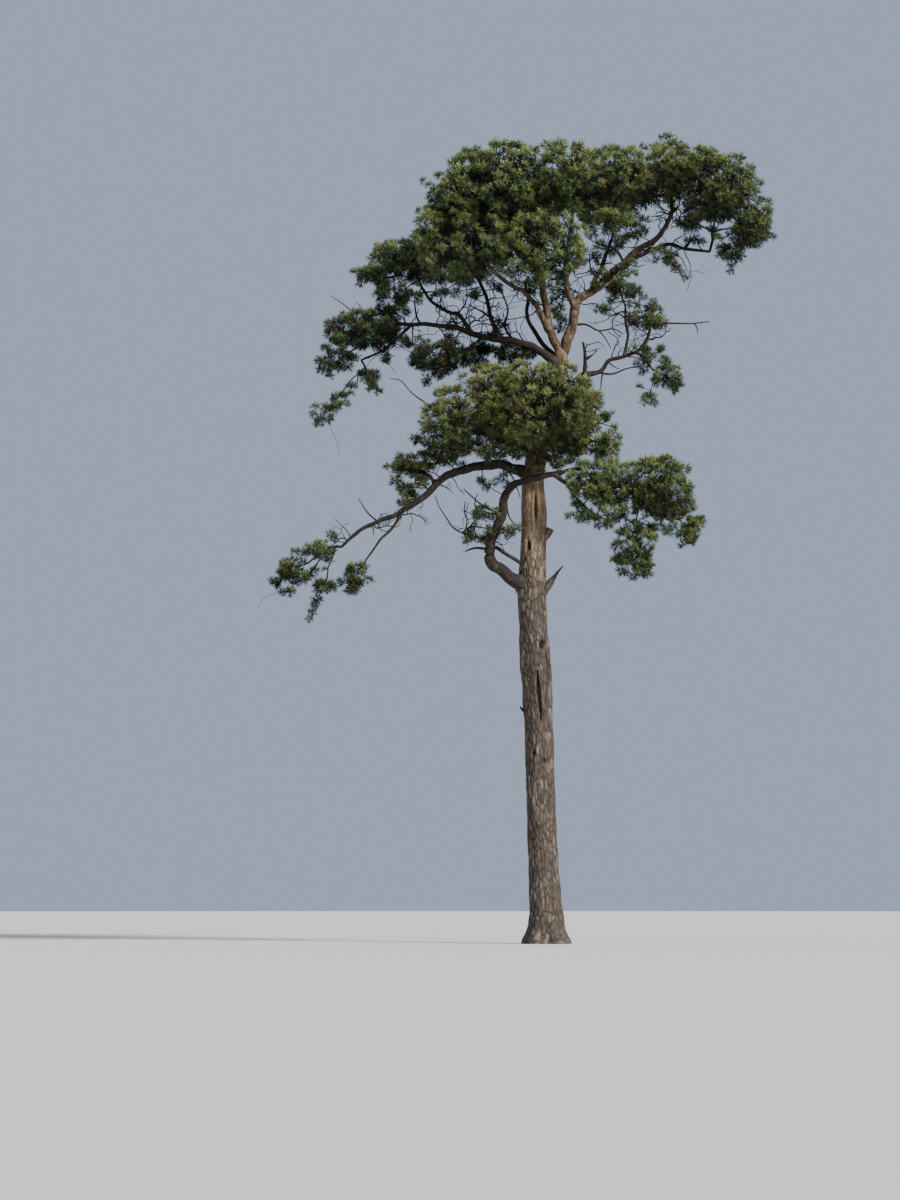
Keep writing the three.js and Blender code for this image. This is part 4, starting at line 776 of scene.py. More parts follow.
def trunk_radius(height):
    """The radius at a height, smooth between the table's rows."""
    levels = np.array([row[2] for row in TRUNK])
    radii = np.array([row[3] for row in TRUNK])
    above = np.clip(np.searchsorted(levels, height), 1, len(levels) - 1)
    share = smooth(height, levels[above - 1], levels[above])
    return radii[above - 1] * (1 - share) + radii[above] * share


def trunk_place(ring, angle, radius):
    _, normals, sideways = trunk_frames
    across = normals[ring] * np.cos(angle)[:, None] + sideways[ring] * np.sin(angle)[:, None]
    return trunk_spine[ring] + across * radius[:, None]


def groove_spread(across, height, places, half_wide):
    """How far each vertex is from a line of places, in half widths, which narrow to both ends."""
    points = np.column_stack([across, height])
    nearest = np.full(len(points), np.inf)
    for start, end in zip(np.array(places[:-1]), np.array(places[1:])):
        way = end - start
        along = np.clip((points - start) @ way / (way @ way), 0, 1)
        nearest = np.minimum(nearest, np.linalg.norm(points - start - along[:, None] * way, axis=1))
    share = np.clip((height - places[-1][1]) / (places[0][1] - places[-1][1]), 0, 1)
    return nearest / (half_wide * (GROOVE_END + (1 - GROOVE_END) * np.sin(math.pi * share)))


def trunk_wounds(across, height, seen):
    """How deep the holes and grooves go, less the lips round them, and how bare the wood is."""
    rows = []
    for x, z, wide, tall, deep in HOLES:
        rows.append((np.hypot((across - x) / wide, (height - z) / tall), deep, 1.0))
    rows += [(groove_spread(across, height, line, wide), deep, bare) for wide, deep, bare, line in GROOVES]
    sink, wound = np.zeros(len(across)), np.zeros(len(across))
    for spread, depth, bare in rows:
        hole = (1 - smooth(spread, *EDGE)) * seen
        lip = smooth(spread, *LIP_RISES) * (1 - smooth(spread, *LIP_FALLS)) * seen
        sink = sink + hole * depth - lip * LIP
        wound = np.maximum(wound, hole * bare)
    return sink, wound


def trunk_surface(ring, angle):
    height = np.clip(trunk_spine[ring, 2], 0, TRUNK[-1][2])
    foot = np.clip(1 - height / FLARE_HEIGHT, 0, 1) ** 2
    lobes = 1 + FLARE_SWELL * foot * (FLARE_MEAN + np.cos(FLARE_LOBES * (math.pi / 2 - angle)))
    radius = trunk_radius(height) * lobes
    left = trunk_spine[-1, 2] - trunk_spine[ring, 2]
    radius = radius * np.sqrt(np.clip(1 - (1 - np.clip(left / TOP_ROUND, 0, 1)) ** 2, TOP_CLOSED, 1))
    wrap = np.column_stack([np.cos(angle) * BARK_AROUND, np.sin(angle) * BARK_AROUND, height])
    sway = lumps(wrap / SWAY_SIZE)[:, None] * SWAY
    low_seam, low_tone = plates((wrap + sway) / LOW_PLATE)
    high_seam, high_tone = plates((wrap + sway) / HIGH_PLATE)
    high = smooth(height, *PLATE_CHANGE)
    low_furrow = 1 - smooth(low_seam, *SEAM)
    high_furrow = 1 - smooth(high_seam, *SEAM)
    placed = trunk_place(ring, angle, radius)
    hollow, wound = trunk_wounds(placed[:, 0], placed[:, 2], placed[:, 1] < trunk_spine[ring, 1])
    sink = low_furrow * LOW_DEPTH * (1 - high) + high_furrow * HIGH_DEPTH * high
    sink = sink - lumps(wrap / LUMP_SIZE) * LUMP_HEIGHT + hollow
    furrow = low_furrow * (1 - high) * LOW_FURROW + high_furrow * high * HIGH_FURROW
    tone = low_tone * (1 - high) + high_tone * high
    # Painted shade at the fork: the plates' tone is dropped and the furrow note raised.
    fork = smooth(height, *FORK_CHANGE)
    tone = tone * (1 - fork)
    furrow = np.maximum(furrow, fork * FORK_PAINTED_SHADE)
    return radius - sink, np.zeros(len(ring)), furrow, tone, wound, np.zeros(len(ring))


trunk_mesh = limb_mesh("trunk_bark", trunk_spine, TRUNK_SIDES, trunk_surface, UP)
finish_piece("trunk_bark", trunk_mesh, [trunk_bark], "trunk_bark", ["trunk"])
print("trunk faces:", len(trunk_mesh.polygons))

# %% [markdown]
# ## The boughs
# Each bough is one tapering limb that grows out of its parent. It starts inside the parent and swells
# in a collar where it comes out, so it doesn't look like a peg in a hole. Its bark blends into that of
# its parent there. The two stems of the fork have no collar and start narrow, inside the trunk's top.
# A little noise across its route makes a bough crooked, and it fades out at both ends, where other
# limbs have to meet it. The thin bark is flaky, so its plates are small and shallow. Boughs in the
# crown's shade get a darker bark, and some stems darken where they run into it: both are painted
# shade. The low ones are darker too, partly in their own colour and partly as painted shade. The same
# helper makes the fine limbs.

# %% Boughs
BOUGH_RING = 0.035
FEWEST_RINGS = 8
THICK = 0.09
THICK_SIDES, THIN_SIDES = 28, 20
BROKEN_BOUGHS = ("stub_stem", "right_stub")
BROKEN_END = 0.03
SPLINTER_SIZE = 1.7
SPLINTER_RINGS = 1.5
END_CLOSED = 0.002
COLLAR_SWELL = 0.45
COLLAR_REACH = 0.16
FORK_STEMS = ("left_stem", "right_stem")
FORK_SWELL = 0.1
FORK_FOOT = 0.62
FORK_REACH = 0.32
# Where a stem runs into the crown's shade and its bark is darkened as painted shade: how far along it,
# in metres, and how dark.
INTO_SHADE = {"right_stem": (1.7, 2.6), "centre_bough": (0.5, 1.2), "high_left_bough": (1.2, 1.8)}
SHADE_DARK = 0.62
FOOT_REACH = 0.14
FOOT_SHARE = 0.9
CROOKED = 0.75
CROOKED_LENGTH = 0.38
# Where in the noise the push along X, Y and Z is read. Vector noise isn't the same in every run.
PUSH_LAYERS = (0.4, 31.7, 67.1)
CROOKED_FADE = 0.3
SEED_GAP = 7.3
BOUGH_AROUND = 0.1
BOUGH_PLATE = (0.06, 0.06, 0.11)
BOUGH_DEPTH = 0.07
FURROW_SHARE = 0.7
KNOT_SIZE = (0.12, 0.12, 0.25)
KNOT_HEIGHT = 0.16
TIP_SUNK = 0.04
# How the names of the low boughs start.
LOW_BOUGHS = ("long", "tip", "low", "cross")
# Boughs in the crown's shade, which get the shaded bark as painted shade.
SHADED_BOUGHS = ("under_left_bough", "riser_bough", "shoulder_bough", "left_hang_bough", "right_far_bough",
                 "right_hang_spur", "back_left_bough", "back_right_bough", "under_left_spur", "inner_stem",
                 "skirt_bough", "right_mid_bough", "right_riser", "right_lower_bough")

spines = {"trunk": (trunk_spine, trunk_radius(trunk_spine[:, 2]))}


def crooked(spine, radii, seed):
    """The same route, pushed a little to and fro."""
    run = run_length(spine)
    fade = np.minimum(1, np.minimum(run, run[-1] - run) / CROOKED_FADE)
    rows = [[(s / CROOKED_LENGTH, seed * SEED_GAP, z) for z in PUSH_LAYERS] for s in run]
    push = np.array([[noise.noise(place) for place in row] for row in rows])
    return spine + push * (CROOKED * radii * fade)[:, None]


def limb(name, path, r0, r1, sides, seed, collar=0.0, broken=0.0):
    """A limb's mesh, spine and radii. collar is how far its foot lies inside its parent."""
    rings = max(FEWEST_RINGS, int(run_length(route(path, FEWEST_RINGS))[-1] / BOUGH_RING))
    spine = route(path, rings)
    share = np.linspace(0, 1, rings + 1)
    radii = r0 + (r1 - r0) * share
    spine = crooked(spine, radii, seed)
    run = run_length(spine)
    at_fork = name in FORK_STEMS
    if collar:
        swell = FORK_SWELL if at_fork else COLLAR_SWELL
        radii = radii * (1 + swell * np.exp(-np.clip(run - collar, 0, None) / COLLAR_REACH))
    if at_fork:
        radii = radii * (FORK_FOOT + (1 - FORK_FOOT) * smooth(run, 0, FORK_REACH))
    left = (run[-1] - run) / r1
    end = np.sqrt(np.clip(1 - (1 - np.clip(left, 0, 1)) ** 2, 1 if broken else END_CLOSED, 1))
    # Painted shade along a stem where it runs into the crown's shade.
    dark = smooth(run, *INTO_SHADE[name]) * SHADE_DARK if name in INTO_SHADE else 0 * run

    def surface(ring, angle):
        wrap = np.column_stack([np.cos(angle) * BOUGH_AROUND, np.sin(angle) * BOUGH_AROUND, run[ring] + seed])
        seam, tone = plates(wrap / BOUGH_PLATE)
        sunk = 1 - smooth(seam, *SEAM)
        knots = lumps(wrap / KNOT_SIZE) * KNOT_HEIGHT
        radius = radii[ring] * end[ring] * (1 + knots - sunk * BOUGH_DEPTH)
        splinter = np.array([noise.noise((a * SPLINTER_SIZE, seed, 0)) for a in angle]) * broken
        along = splinter * (share[ring] > 1 - SPLINTER_RINGS / rings)
        # The furrow note carries that painted shade too.
        furrow = np.maximum(sunk * FURROW_SHARE, dark[ring])
        foot = np.exp(-np.clip(run[ring] - collar, 0, None) / FOOT_REACH) * FOOT_SHARE
        foot = foot * (collar > 0 and not at_fork)
        return radius, along, furrow, tone, np.zeros(len(ring)), foot

    return limb_mesh(name, spine, sides, surface), spine, radii


def radius_near(parent, point):
    spine, radii = spines[parent]
    return radii[np.linalg.norm(spine - point, axis=1).argmin()]


def bark_of(name):
    if name in SHADED_BOUGHS:
        return shaded_bark
    if name in BROKEN_BOUGHS:
        return dead_wood
    return low_bough_bark if name.startswith(LOW_BOUGHS) else bough_bark


bough_faces = 0
tips = {}
for number, (name, parent, start, r0, r1, path) in enumerate(BOUGHS):
    places = [np.array(p, float) for p in path]
    collar = radius_near(parent, path[0])
    if start == "tip":
        places[0] = places[0] - unit(spines[parent][0][-1] - spines[parent][0][-3]) * TIP_SUNK
        collar = 0.0
    sides = THICK_SIDES if r0 > THICK else THIN_SIDES
    broken = BROKEN_END if name in BROKEN_BOUGHS else 0.0
    mesh, spine, radii = limb(name, places, r0, r1, sides, number + 1, collar, broken)
    spines[name] = (spine, radii)
    tips[name] = (spine[-1], unit(spine[-1] - spine[-3]), r1)
    finish_piece(name + "_bark", mesh, [bark_of(name)], "bough_bark", [name])
    bough_faces += len(mesh.polygons)
print("boughs:", len(BOUGHS), "faces:", bough_faces)

# %% [markdown]
# ## Fine limbs
# The thin links and spurs in the gaps, the dead limbs and the broken stub on the trunk's shoulder are
# made by the same helper. They stand for no solid of their own, and are joined into three pieces.

# %% Fine limbs
def joined_limbs(name, table, material, sides, seed, broken=0.0):
    whole = bmesh.new()
    for number, (r0, r1, path) in enumerate(table):
        mesh, _, _ = limb(name, path, r0, r1, sides, seed + number, broken=broken)
        whole.from_mesh(mesh)
        bpy.data.meshes.remove(mesh)
    finish_piece(name, mesh_from(whole, name), [material], "bough_bark")


# The fine limbs get the shaded bark too: painted shade.
joined_limbs("fine_limbs", FINE_LIMBS, shaded_bark, 12, 60)
joined_limbs("dead_limbs", DEAD_LIMBS, dead_wood, 12, 90)
joined_limbs("shoulder_stub_bark", [SHOULDER_STUB], trunk_bark, 32, 120, broken=0.02)
print("fine limbs:", len(FINE_LIMBS), "dead:", len(DEAD_LIMBS))

# %% [markdown]
# ## Where the foliage may be
# A mass of foliage is a few boxy clumps. These are the rules that the solids' sprays follow, written
# again: how deep a point lies in a clump, points spread evenly over its shell by a golden spiral, and
# the space that a mass keeps to, where it is nearer than any other mass.

# %% Rules of the foliage
FULLNESS = 2.7
UNDERSIDE_SHARE = 0.8
SPACE_MARGIN = 0.02
SHAKE_UP = 0.18
SHAKE_TURN = 0.6
SHAKE_REACH = 0.1
SHELL_REACH = 0.95
HIDDEN = 0.98
AREA_POWER = 1.6
GOLDEN_ANGLE = math.pi * (3 - math.sqrt(5))
SEED_SPRAYS = 17
SEED_STEP = 101


def seeded(seed):
    """A small generator of numbers from 0 to 1, the same on every run."""
    state = seed

    def draw():
        nonlocal state
        state = (state * 1664525 + 1013904223) % 4294967296
        return state / 4294967296

    return draw


def full_length(parts):
    return (np.abs(parts) ** FULLNESS).sum(axis=-1) ** (1 / FULLNESS)


def depth_in(clump, point):
    """How far out a point lies in a clump, in radii: 1 is on its surface."""
    return full_length((point - clump[:3]) / clump[3:])


def depth_in_mass(mass, point):
    return min(depth_in(clump, point) for clump in mass["clumps"])


def point_in(clump, direction, share):
    reach = share / full_length(direction)
    flat = np.array((1, 1, UNDERSIDE_SHARE if direction[2] < 0 else 1))
    return clump[:3] + clump[3:] * direction * reach * flat


def in_own_space(mass, point):
    own = depth_in_mass(mass, point) + SPACE_MARGIN
    return mass.get("free") or all(other is mass or depth_in_mass(other, point) > own for other in MASSES)


def shell_direction(index, count, draw):
    height = 1 - 2 * (index + 0.5) / count + (draw() - 0.5) * SHAKE_UP
    up = min(1, max(-1, height))
    turn = index * GOLDEN_ANGLE + (draw() - 0.5) * SHAKE_TURN
    out = math.sqrt(1 - up * up)
    return np.array((out * math.cos(turn), out * math.sin(turn), up))


def shell_area(clump):
    """The area of an ellipsoid of the clump's radii, by a rule that is right within about 1 per cent."""
    a, b, c = (value**AREA_POWER for value in clump[3:])
    return 4 * math.pi * ((a * b + a * c + b * c) / 3) ** (1 / AREA_POWER)


for wisp in WISPS:
    wisp.setdefault("shade", WISP_SHADE)
    wisp["open"] = True
for mass in MASSES + WISPS:
    mass["clumps"] = [np.array(clump, float) for clump in mass["clumps"]]
print("clumps:", sum(len(mass["clumps"]) for mass in MASSES))

# %% [markdown]
# ## Tufts
# From afar a pine's foliage is a crowd of rounded tufts, each about a foot across, on the ends of the
# twigs, with dark gaps between them. So each clump gets them in layers, one inside the other: a close
# outer one that the light falls on and, unless its mass is open, a wider-set one behind the gaps and a
# last one that closes the view. The two inner layers get darker greens, as painted shade. The outer
# layer is set in by a tuft's own reach, so that the needles end at the clump's surface, and slow noise
# pushes tufts inwards. Fewer grow below, none where the sky shows through, and the tufts of small clumps
# stand looser. Thick places get a second outer layer, single tips a row of tufts, and masses with wide
# gaps a few tufts on the way to their clumps.

# %% Places of the tufts
TUFT_REACH = 0.17
# Of each layer: how far it is set in, in metres, the spacing of its tufts and their size.
LAYERS = [(TUFT_REACH, 0.335, 1.0), (TUFT_REACH + 0.2, 0.45, 1.1), (TUFT_REACH + 0.45, 0.6, 1.4)]
HEART = len(LAYERS) - 1
LAYER_ROOM = 0.06
FEWEST_TUFTS = 4
LOOSE_BELOW = 0.75
LOOSE_SHAKE = 0.36
ON_THE_WAY = 0.22
ON_THE_WAY_FROM = 0.2
ASIDE = 0.13
FORK_ONE = 0.6
FORK_SEVERAL = 0.35
SMALLEST_SHARE = 0.3
UNDER_SHARE = 0.75
LUMP_LENGTH = 0.75
LUMP_LEVEL = 0.3
LUMP_PUSH = 0.28
GROWN = (0.8, 0.4)
LOOSE_GROWN = 0.3
FACES_DOWN = -0.35
LOOSE_GAP = 0.9
WAY_GROWN = (0.65, 0.3)
TIP_GROWN = (0.75, 0.5)
TIP_BACK = 0.7
TIP_TUFTS = (0.0, 0.17, 0.34, 0.5)


def inset(clump, by):
    """The clump with its radii less by that much, but never under a share of what they were."""
    smaller = clump.copy()
    smaller[3:] = np.maximum(clump[3:] - by, clump[3:] * SMALLEST_SHARE)
    return smaller


def in_clearing(place):
    return any(math.hypot((place[0] - x) / wide, (place[2] - z) / tall) < 1 for x, z, wide, tall in CLEARINGS)


def layer_tufts(mass, clump, others, layer, draw):
    """The tufts of one layer of a clump: place, outward direction, size and layer."""
    set_in, spacing, size = LAYERS[layer]
    loose = max(0, 1 - min(clump[3:]) / LOOSE_BELOW)
    spacing = spacing * mass.get("gap", 1)
    shell = inset(clump, set_in)
    others = [inset(other, set_in) for other in others]
    count = max(FEWEST_TUFTS, round(shell_area(shell) / spacing**2))
    found = []
    for index in range(count):
        direction = shell_direction(index, count, draw)
        share = SHELL_REACH + SHAKE_REACH * draw() + (draw() - 0.5) * loose
        grown = size * (GROWN[0] + GROWN[1] * draw()) * (1 - LOOSE_GROWN * loose * draw())
        chance = draw()
        place = point_in(shell, direction, share)
        outward = unit(direction / clump[3:])
        push = noise.noise(Vector(place) / LUMP_LENGTH) - LUMP_LEVEL
        place = place + outward * min(0, push) * LUMP_PUSH
        place = place + (np.array((draw(), draw(), draw())) - 0.5) * LOOSE_SHAKE * loose
        hidden = any(depth_in(other, place) < HIDDEN for other in others)
        bare_below = direction[2] < FACES_DOWN and chance > mass.get("under", UNDER_SHARE)
        if not (hidden or bare_below or in_clearing(place)) and in_own_space(mass, place):
            found.append((place, outward, grown, layer))
    return found


def hub_of(mass):
    """Where the stem of a mass parts into its main twigs."""
    start = np.array(mass["root"], float) if "root" in mass else tips[mass["on"]][0]
    return start + (mass["clumps"][0][:3] - start) * (FORK_SEVERAL if len(mass["clumps"]) > 1 else FORK_ONE)


def tufts_on_the_way(mass, draw):
    """A few tufts on the main twigs of a mass with small clumps, so that the clumps hang together."""
    found = []
    for clump in mass["clumps"]:
        way = clump[:3] - hub_of(mass)
        for step in range(int(np.linalg.norm(way) / ON_THE_WAY)):
            share = 1 - (step + 0.5 + 0.5 * draw()) * ON_THE_WAY / np.linalg.norm(way)
            aside = (np.array((draw(), draw(), draw())) - 0.5) * 2 * ASIDE
            place = clump[:3] - way * (1 - share) + aside
            if share > ON_THE_WAY_FROM and in_own_space(mass, place):
                outward = unit(aside + np.array((0, 0, ASIDE)))
                found.append((place, outward, WAY_GROWN[0] + WAY_GROWN[1] * draw(), 0))
    return found


def tufts_of(mass, number):
    draw = seeded(SEED_SPRAYS + SEED_STEP * number)
    found = []
    for clump in mass["clumps"]:
        others = [other for other in mass["clumps"] if other is not clump]
        for layer, (set_in, _, _) in enumerate(LAYERS):
            if layer == 0 or not mass.get("open") and min(clump[3:]) > set_in + LAYER_ROOM:
                found += layer_tufts(mass, clump, others, layer, draw)
    for clump in mass.get("thick", []):
        found += layer_tufts(mass, np.array(clump), [], 0, draw)
    if mass.get("gap", 1) < LOOSE_GAP:
        found += tufts_on_the_way(mass, draw)
    for tip in mass.get("tips", []):
        nearest = min(mass["clumps"], key=lambda clump: np.linalg.norm(clump[:3] - tip))
        inward = unit(nearest[:3] - np.array(tip))
        for back in TIP_TUFTS:
            place = np.array(tip) + inward * (TUFT_REACH * TIP_BACK + back)
            found.append((place, -inward, TIP_GROWN[0] + back * TIP_GROWN[1], 0))
    return found


tufts = {mass["name"]: tufts_of(mass, number) for number, mass in enumerate(MASSES + WISPS)}
for layer in range(len(LAYERS)):
    print("tufts of layer", layer, ":", sum(tuft[3] == layer for found in tufts.values() for tuft in found))

# %% [markdown]
# ## Twigs
# Each mass grows from the tip of its bough, or from the trunk: a stem to a hub, a main twig to the
# heart of each clump, as in the solids, and from there finer twigs. Tufts are joined on one by one,
# the nearest first: each takes the closest point of what has grown so far, in short steps that bend
# upwards, and later twigs may fork from those steps. Then the thickness is worked out from the tips
# down: a twig that carries more tufts is thicker.

# %% Skeletons of the masses
STEM_SHARE = 0.9
TRUNK_STEM_RADIUS = 0.055
WISP_RADIUS = 0.016
SINK = 0.06
TWIG_STEP = 0.22
TWIG_SHAKE = 0.035
TWIG_LIFT = 0.12
INWARD_PULL = 0.12
TIP_RADIUS = 0.006
PIPE_POWER = 0.45


def steps_between(start, end, rng, lift):
    """Places from start to end, without the start, shaken off the straight line and arched."""
    length = np.linalg.norm(end - start)
    count = max(1, int(length / TWIG_STEP))
    share = np.arange(1, count + 1)[:, None] / count
    arch = share * (1 - share) * 4
    line = start + (end - start) * share + rng.normal(0, TWIG_SHAKE, (count, 3)) * arch
    line[:, 2] += arch[:, 0] * lift * length
    return line


def skeleton_of(mass, number):
    """The places, parents and radii of a mass's twigs, and the end place of each tuft."""
    rng = np.random.default_rng(SEED_SPRAYS + number)
    clumps = mass["clumps"]
    if "root" in mass:
        start = np.array(mass["root"], float)
        stem_radius = TRUNK_STEM_RADIUS if mass.get("on") == "trunk" else WISP_RADIUS
        places = [start]
    else:
        start, lead, tip_radius = tips[mass["on"]]
        stem_radius = tip_radius * STEM_SHARE
        places = [start - lead * SINK, start + lead * SINK]
    stem_places = len(places)
    parents = list(range(-1, stem_places - 1))

    def grow(origin, end, lift=0.0):
        for place in steps_between(places[origin], end, rng, lift):
            parents.append(origin)
            places.append(place)
            origin = len(places) - 1
        return origin

    hub = grow(stem_places - 1, hub_of(mass))
    for clump in clumps:
        grow(hub, clump[:3])
    targets = [tuft[0] for tuft in tufts[mass["name"]]] + [np.array(p, float) for p in mass.get("bare", [])]
    nearness = [min(np.linalg.norm(place - clump[:3]) for clump in clumps) for place in targets]
    ends = np.zeros(len(targets), int)
    for which in np.argsort(nearness):
        grown = np.array(places[1:])
        gap = np.linalg.norm(grown - targets[which], axis=1)
        inward = np.linalg.norm(grown - clumps[0][:3], axis=1)
        best = int((gap + INWARD_PULL * inward).argmin()) + 1
        ends[which] = grow(best, targets[which], TWIG_LIFT)
    load = np.zeros(len(places))
    load[ends] += 1
    for index in range(len(places) - 1, 0, -1):
        load[parents[index]] += load[index]
    radii = TIP_RADIUS * np.maximum(load, 1) ** PIPE_POWER
    radii *= min(1.0, stem_radius / radii[0])
    radii[:stem_places] = stem_radius
    return np.array(places), np.array(parents), radii, ends


skeletons = {mass["name"]: skeleton_of(mass, number) for number, mass in enumerate(MASSES + WISPS)}
print("twig steps:", sum(len(skeleton[0]) for skeleton in skeletons.values()))

# %% [markdown]
# ## Bare twigs
# In the shade under the crown's top the boughs keep many dead twigs, dark and crooked, that cross the
# gaps. They walk off the boughs in short steps, each step turned a little at random, and fork now and
# then. The same seeded rule serves every bough, and the table says how many twigs each one carries.

# %% Bare twigs
# For each limb, the number of twigs and the stretch of it that carries them, as shares of its length.
TWIGS_ON = {
    "trunk": (34, 0.782, 0.9), "right_stem": (22, 0.2, 0.97), "right_far_bough": (12, 0.1, 0.97),
    "centre_bough": (7, 0.2, 0.97), "under_left_bough": (24, 0.2, 0.97), "riser_bough": (16, 0.1, 0.97),
    "shoulder_bough": (18, 0.1, 0.97), "high_left_bough": (10, 0.2, 0.97), "left_hang_bough": (9, 0.2, 0.97),
    "right_mid_bough": (10, 0.2, 0.97), "right_riser": (9, 0.1, 0.97), "stub_stem": (5, 0.4, 0.95),
    "tip_bough_upper": (7, 0.2, 0.97), "long_bough_outer": (7, 0.2, 0.97),
    "low_bough_rise": (6, 0.1, 0.9), "low_twig": (4, 0.3, 0.97), "back_left_bough": (6, 0.2, 0.97),
    "back_right_bough": (6, 0.2, 0.97), "left_stem": (6, 0.3, 0.97),
}
BARE_STEP = 0.09
BARE_STEPS = (4, 13)
BARE_RADIUS = 0.02
BARE_BEND = 0.33
BARE_FORK = 0.22
BARE_RISE = 0.35
BARE_FLAT = (1, 0.7, 1)
BARE_THINS = 0.75
BARE_FORK_TURN = 0.9
BARE_SQUARE = 0.6
BARE_SIZES = (0.6, 1.1)
BARE_SEED = 77


def walk(place, aim, radius, steps, rng, found):
    """Adds the steps of one bare twig and of its forks, as start, end and two radii."""
    for step in range(steps):
        aim = unit(aim + rng.normal(0, BARE_BEND, 3) * BARE_FLAT)
        after = place + aim * BARE_STEP
        thinner = radius * (1 - BARE_THINS / steps)
        found.append((place, after, radius, thinner))
        if rng.random() < BARE_FORK and steps - step > 2:
            turned = unit(aim + rng.normal(0, BARE_FORK_TURN, 3))
            walk(after, turned, thinner * BARE_THINS, steps - step - 1, rng, found)
        place, radius = after, thinner


def bare_twigs(name, count, low, high, rng):
    spine = spines[name][0]
    found = []
    for share in rng.uniform(low, high, count):
        ring = int(share * (len(spine) - 1))
        along = unit(spine[min(ring + 1, len(spine) - 1)] - spine[max(ring - 1, 0)])
        out = rng.normal(0, 1, 3) + np.array((0, 0, BARE_RISE))
        out = unit(out - along * out.dot(along) * BARE_SQUARE)
        walk(spine[ring], out, BARE_RADIUS * rng.uniform(*BARE_SIZES), rng.integers(*BARE_STEPS), rng, found)
    return found


twig_rng = np.random.default_rng(BARE_SEED)
bare_steps = [step for name, row in TWIGS_ON.items() for step in bare_twigs(name, *row, twig_rng)]
print("bare twigs:", sum(row[0] for row in TWIGS_ON.values()), "steps:", len(bare_steps))

# %% [markdown]
# ## Needles
# A needle is a flat, slightly tapered strip of one face. A spray is a short shoot with its needles
# round it, spread wide at its foot and closing towards its tip. A few sprays are drawn up once, with
# their needles placed by the same seeded generator, and copied thousands of times by arrays, turned
# to where each grows. The needles are longer than in life and much wider, and each stands for several,
# to keep them few. Those deeper in the crown, of which only dark glimpses show, are the largest.

# %% One spray of needles
# For each layer of tufts: sprays, needles in each, their length and width.
SPRAY_SIZES = [(12, 13, 0.085, 0.0185), (8, 12, 0.1, 0.0225), (8, 9, 0.15, 0.034)]
NEEDLE_ROOT = 0.7
NEEDLE_TIP = 0.4
SHOOT_LENGTH = 0.05
WIDE_TILT = math.radians(80)
CLOSE_TILT = math.radians(12)
KINDS_OF_SPRAY = 6
TILT_POWER = 1.3
TILT_SHAKE = 0.35
TURN_SHAKE = 0.5
ROLL = 2.2
NEEDLE_LENGTHS = (0.8, 0.35)


def spray_of_needles(seed, count, length, width):
    """The corners of a spray's needles, four each, round a shoot along Z."""
    draw = seeded(seed)
    corners = []
    for index in range(count):
        share = (index + 0.5) / count
        foot = Vector((0, 0, SHOOT_LENGTH * share))
        tilt = WIDE_TILT + (CLOSE_TILT - WIDE_TILT) * share**TILT_POWER + (draw() - 0.5) * TILT_SHAKE
        turn = index * GOLDEN_ANGLE + (draw() - 0.5) * TURN_SHAKE
        aim_out = Vector((math.sin(tilt) * math.cos(turn), math.sin(tilt) * math.sin(turn), math.cos(tilt)))
        flat = aim_out.cross(Vector((0, 0, 1))).normalized()
        roll = (draw() - 0.5) * ROLL
        side = flat * math.cos(roll) + aim_out.cross(flat) * math.sin(roll)
        half = side * width / 2
        tip = foot + aim_out * length * (NEEDLE_LENGTHS[0] + NEEDLE_LENGTHS[1] * draw())
        corners += [foot - half * NEEDLE_ROOT, foot + half * NEEDLE_ROOT]
        corners += [tip + half * NEEDLE_TIP, tip - half * NEEDLE_TIP]
    return np.array(corners)


spray_kinds = [
    [spray_of_needles(300 + 100 * layer + kind, count, length, width) for kind in range(KINDS_OF_SPRAY)]
    for layer, (_, count, length, width) in enumerate(SPRAY_SIZES)
]
print("needles on a tuft:", [sprays * count for sprays, count, _, _ in SPRAY_SIZES])

# %% [markdown]
# ## Sprays on the tufts
# Round each tuft's middle, sprays stand on a small flattened ball, all but those that would point back
# into the crown, and lean outwards and up to the light. Their greens are plain colours dealt out by
# spray as painted light and shade: the lighter ones on the top of a tuft and of the crown and where a
# spray faces out, the dark ones below and inside, with a few bluish and a few brown ones among them.

# %% Places of the sprays
TUFT_RADIUS = 0.068
TUFT_FLAT = 0.8
LEAN_OUT = 0.3
LEAN_UP = 0.3
# The first five are one green, dealt from painted deep shade up to painted light; the bluish and brown ones
# are the needles' own colours.
GREENS = [
    ("needles deep shade", srgb(33, 37, 21)),
    ("needles dark", srgb(58, 66, 34)),
    ("needles mid", srgb(86, 99, 52)),
    ("needles olive", srgb(114, 124, 68)),
    ("needles light", srgb(142, 149, 91)),
    ("needles bluish", srgb(76, 104, 76)),
    ("needles brown", srgb(100, 80, 48)),
]
BLUISH, BROWN = 5, 6
BLUISH_SHARE = 0.07
BROWN_SHARE = 0.03
# Where the painted light passes from one of the first five greens to the next.
SHADE_STEPS = np.array([0.1, 0.32, 0.58, 0.84])
# How much painted light a spray gets: its layer, the inner ones in painted shade, and what its side of
# the tuft, of the crown and its facing add.
LAYER_LIGHT = (0.42, 0.12, -0.2)
TUFT_LIGHT, CROWN_LIGHT, FACING_LIGHT, LIGHT_SHAKE = 0.3, 0.12, 0.1, 0.1
BALL_SHAKE = 0.18
FACING_UP = 0.35
KEPT_FACING = -0.75
REACHES = (0.6, 1.1)
SCALES = (0.85, 1.15)

needle_materials = [plain_material(name, colour, 0.62, 0.3) for name, colour in GREENS]


def even_directions(count):
    index = np.arange(count)
    up = 1 - 2 * (index + 0.5) / count
    out = np.sqrt(1 - up * up)
    turn = index * GOLDEN_ANGLE
    return np.column_stack([out * np.cos(turn), out * np.sin(turn), up])


